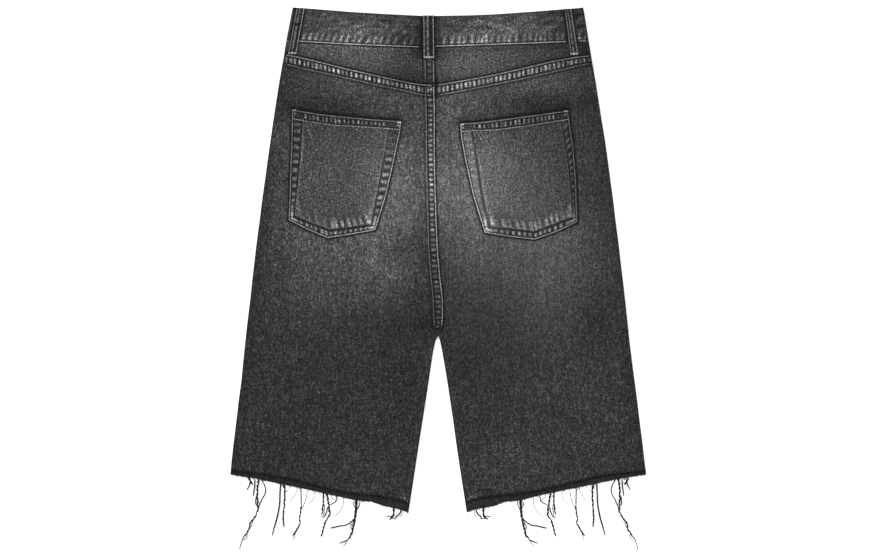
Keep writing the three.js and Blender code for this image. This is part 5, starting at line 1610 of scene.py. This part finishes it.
# short frayed ends of yarn along the four cut hems
for side in ("left", "right"):
    for table, z0, count, seed in ((HEM_FRONT[side], 0.7, 420, 71), (HEM_BACK[side], 2.0, 300, 72)):
        rng = np.random.default_rng(seed + (0 if side == "left" else 7))
        lo_x, hi_x = (mx(231), mx(408)) if side == "left" else (mx(468), mx(646))
        for _ in range(count):
            x0 = rng.uniform(lo_x, hi_x)
            y0 = float(interp(x0, table)) + rng.uniform(0.2, 1.4)
            reach = rng.gamma(1.8, 0.72) + 0.3
            turn = rng.normal(-math.pi / 2, 0.6)
            bend = rng.uniform(-1.2, 1.2)
            k = np.linspace(0, 1, 4)
            path = np.stack([x0 + reach * k * np.cos(turn + bend * k), y0 + reach * k * np.sin(turn + bend * k),
                             z0 + rng.uniform(-0.3, 0.3) - 0.3 * k], 1)
            THREADS.tube(path, 0.20 * (1 - 0.5 * k) + 0.05, 4, dye(rng.uniform(22, 70)))
threads_obj = THREADS.build("hem_threads")
finish_piece(threads_obj, LOOSE_THREAD, ["hem_fringe_left", "hem_fringe_right"])


# ------------------------------------------------------------- zip and button
ZIP = Soup()
for y in np.arange(142, 283, 1.9):
    x = float(np.interp(y, FLY_EDGE[:, 0], FLY_EDGE[:, 1])) - 2 - 6
    z = float(front_under(y)) + DENIM + GAP + 0.45
    ZIP.tube(np.array([[x - 2.4, y, z], [x - 0.8, y, z + 0.05], [x + 0.8, y, z + 0.05], [x + 2.4, y, z]]), 0.42, 6, 0.2)
zip_teeth = ZIP.build("fly_zip_teeth")
finish_piece(zip_teeth, METAL)
ys = np.linspace(140, 284, 40)
xs = np.linspace(-14, -2, 9)
X, Y = np.meshgrid(xs, ys)
X = X + np.interp(Y, FLY_EDGE[:, 0], FLY_EDGE[:, 1])
Z0 = front_under(Y) + DENIM + GAP
tape = sheet_mesh("fly_zip_tape", np.stack([X, Y, Z0 + 0.5], -1), np.stack([X, Y, Z0], -1), np.full(X.shape, dye(30)),
                  np.full(X.shape, dye(30)), 1)
finish_piece(tape, LOOSE_THREAD, ["fly_zip"], flat=(0.012, 0.144))


def turned(name, profile, centre, sides=64):
    """A turned piece from (radius, z) points, closed on its axis."""
    verts, faces = [], []
    turn = np.arange(sides) * 2 * math.pi / sides
    first = len(verts)
    verts.append((centre[0], centre[1], profile[0][1]))
    for r, z in profile[1:-1]:
        for a in turn:
            verts.append((centre[0] + r * math.cos(a), centre[1] + r * math.sin(a), z))
    verts.append((centre[0], centre[1], profile[-1][1]))
    last = len(verts) - 1
    rings = len(profile) - 2
    for s in range(sides):
        t = (s + 1) % sides
        faces.append([first, 1 + t, 1 + s])
        for k in range(rings - 1):
            faces.append([1 + k * sides + s, 1 + k * sides + t, 1 + (k + 1) * sides + t, 1 + (k + 1) * sides + s])
        faces.append([last, 1 + (rings - 1) * sides + s, 1 + (rings - 1) * sides + t])
    totals = np.array([len(f) for f in faces])
    loops = np.concatenate([np.array(f) for f in faces])
    starts = np.concatenate([[0], np.cumsum(totals)[:-1]])
    verts = np.array(verts)
    return make_object(name, verts, loops, starts, totals, np.full(len(verts), 0.2), 40)


profile = [(0, 0.55), (1.2, 0.5), (2.0, 0.42), (2.5, 0.25), (3.0, 0.35), (4.6, 0.42), (5.3, 0.36), (5.8, 0.12),
           (6.3, 0.02), (7.2, 0.0), (7.9, 0.12), (8.35, 0.42), (8.5, 0.75), (8.4, 1.1), (8.0, 1.36), (7.2, 1.42),
           (3.6, 1.42), (3.4, 1.5), (3.4, 1.7), (0, 1.7)]
button = turned("waist_button_metal", profile, (6.0, (331.8 + 290.2) / 2))
finish_piece(button, METAL, ["waist_button"])


# ------------------------------------------------------------- stage and camera
def floor_material():
    mat = bpy.data.materials.new("pale_floor")
    mat.use_nodes = True
    shader = mat.node_tree.nodes["Principled BSDF"]
    shader.inputs["Base Color"].default_value = (0.92, 0.92, 0.92, 1)
    shader.inputs["Roughness"].default_value = 0.9
    shader.inputs["Specular IOR Level"].default_value = 0.1
    shader.inputs["Emission Color"].default_value = (1, 1, 1, 1)
    shader.inputs["Emission Strength"].default_value = 0.4
    return mat


bpy.ops.mesh.primitive_plane_add(size=12, location=(0, 0, -0.0004))
floor = bpy.context.object
floor.name = "floor"
floor.data.materials.append(floor_material())

world = bpy.data.worlds.new("studio") if bpy.context.scene.world is None else bpy.context.scene.world
bpy.context.scene.world = world
world.use_nodes = True
background = world.node_tree.nodes["Background"]
background.inputs[0].default_value = (1, 1, 1, 1)
background.inputs[1].default_value = 0.62


def sun(name, azimuth, elevation, strength, angle):
    data = bpy.data.lights.new(name, "SUN")
    data.energy = strength
    data.angle = math.radians(angle)
    obj = bpy.data.objects.new(name, data)
    a, e = math.radians(azimuth), math.radians(elevation)
    direction = (math.cos(a) * math.cos(e), math.sin(a) * math.cos(e), math.sin(e))
    from mathutils import Vector
    obj.rotation_euler = Vector(direction).to_track_quat("Z", "Y").to_euler()
    bpy.context.scene.collection.objects.link(obj)
    return obj


sun("key", 128, 42, 2.3, 14)
sun("fill", -35, 48, 0.75, 40)

scene = bpy.context.scene
scene.view_settings.view_transform = "Standard"
scene.view_settings.look = "None"
scene.view_settings.exposure = 0.0
scene.view_settings.gamma = 1.0

camera_data = bpy.data.cameras.new("camera")
camera_data.sensor_fit = "HORIZONTAL"
camera_data.sensor_width = 36.0
distance = 7.0
frame_width = 875 * MM_PER_PX / 1000
camera_data.lens = 36.0 * (distance - 0.004) / frame_width
camera_data.clip_end = 50
camera = bpy.data.objects.new("camera", camera_data)
camera.location = (float(mx(437.5)) / 1000, float(my(280)) / 1000, distance)
camera.rotation_euler = (0, 0, 0)
bpy.context.scene.collection.objects.link(camera)
scene.camera = camera
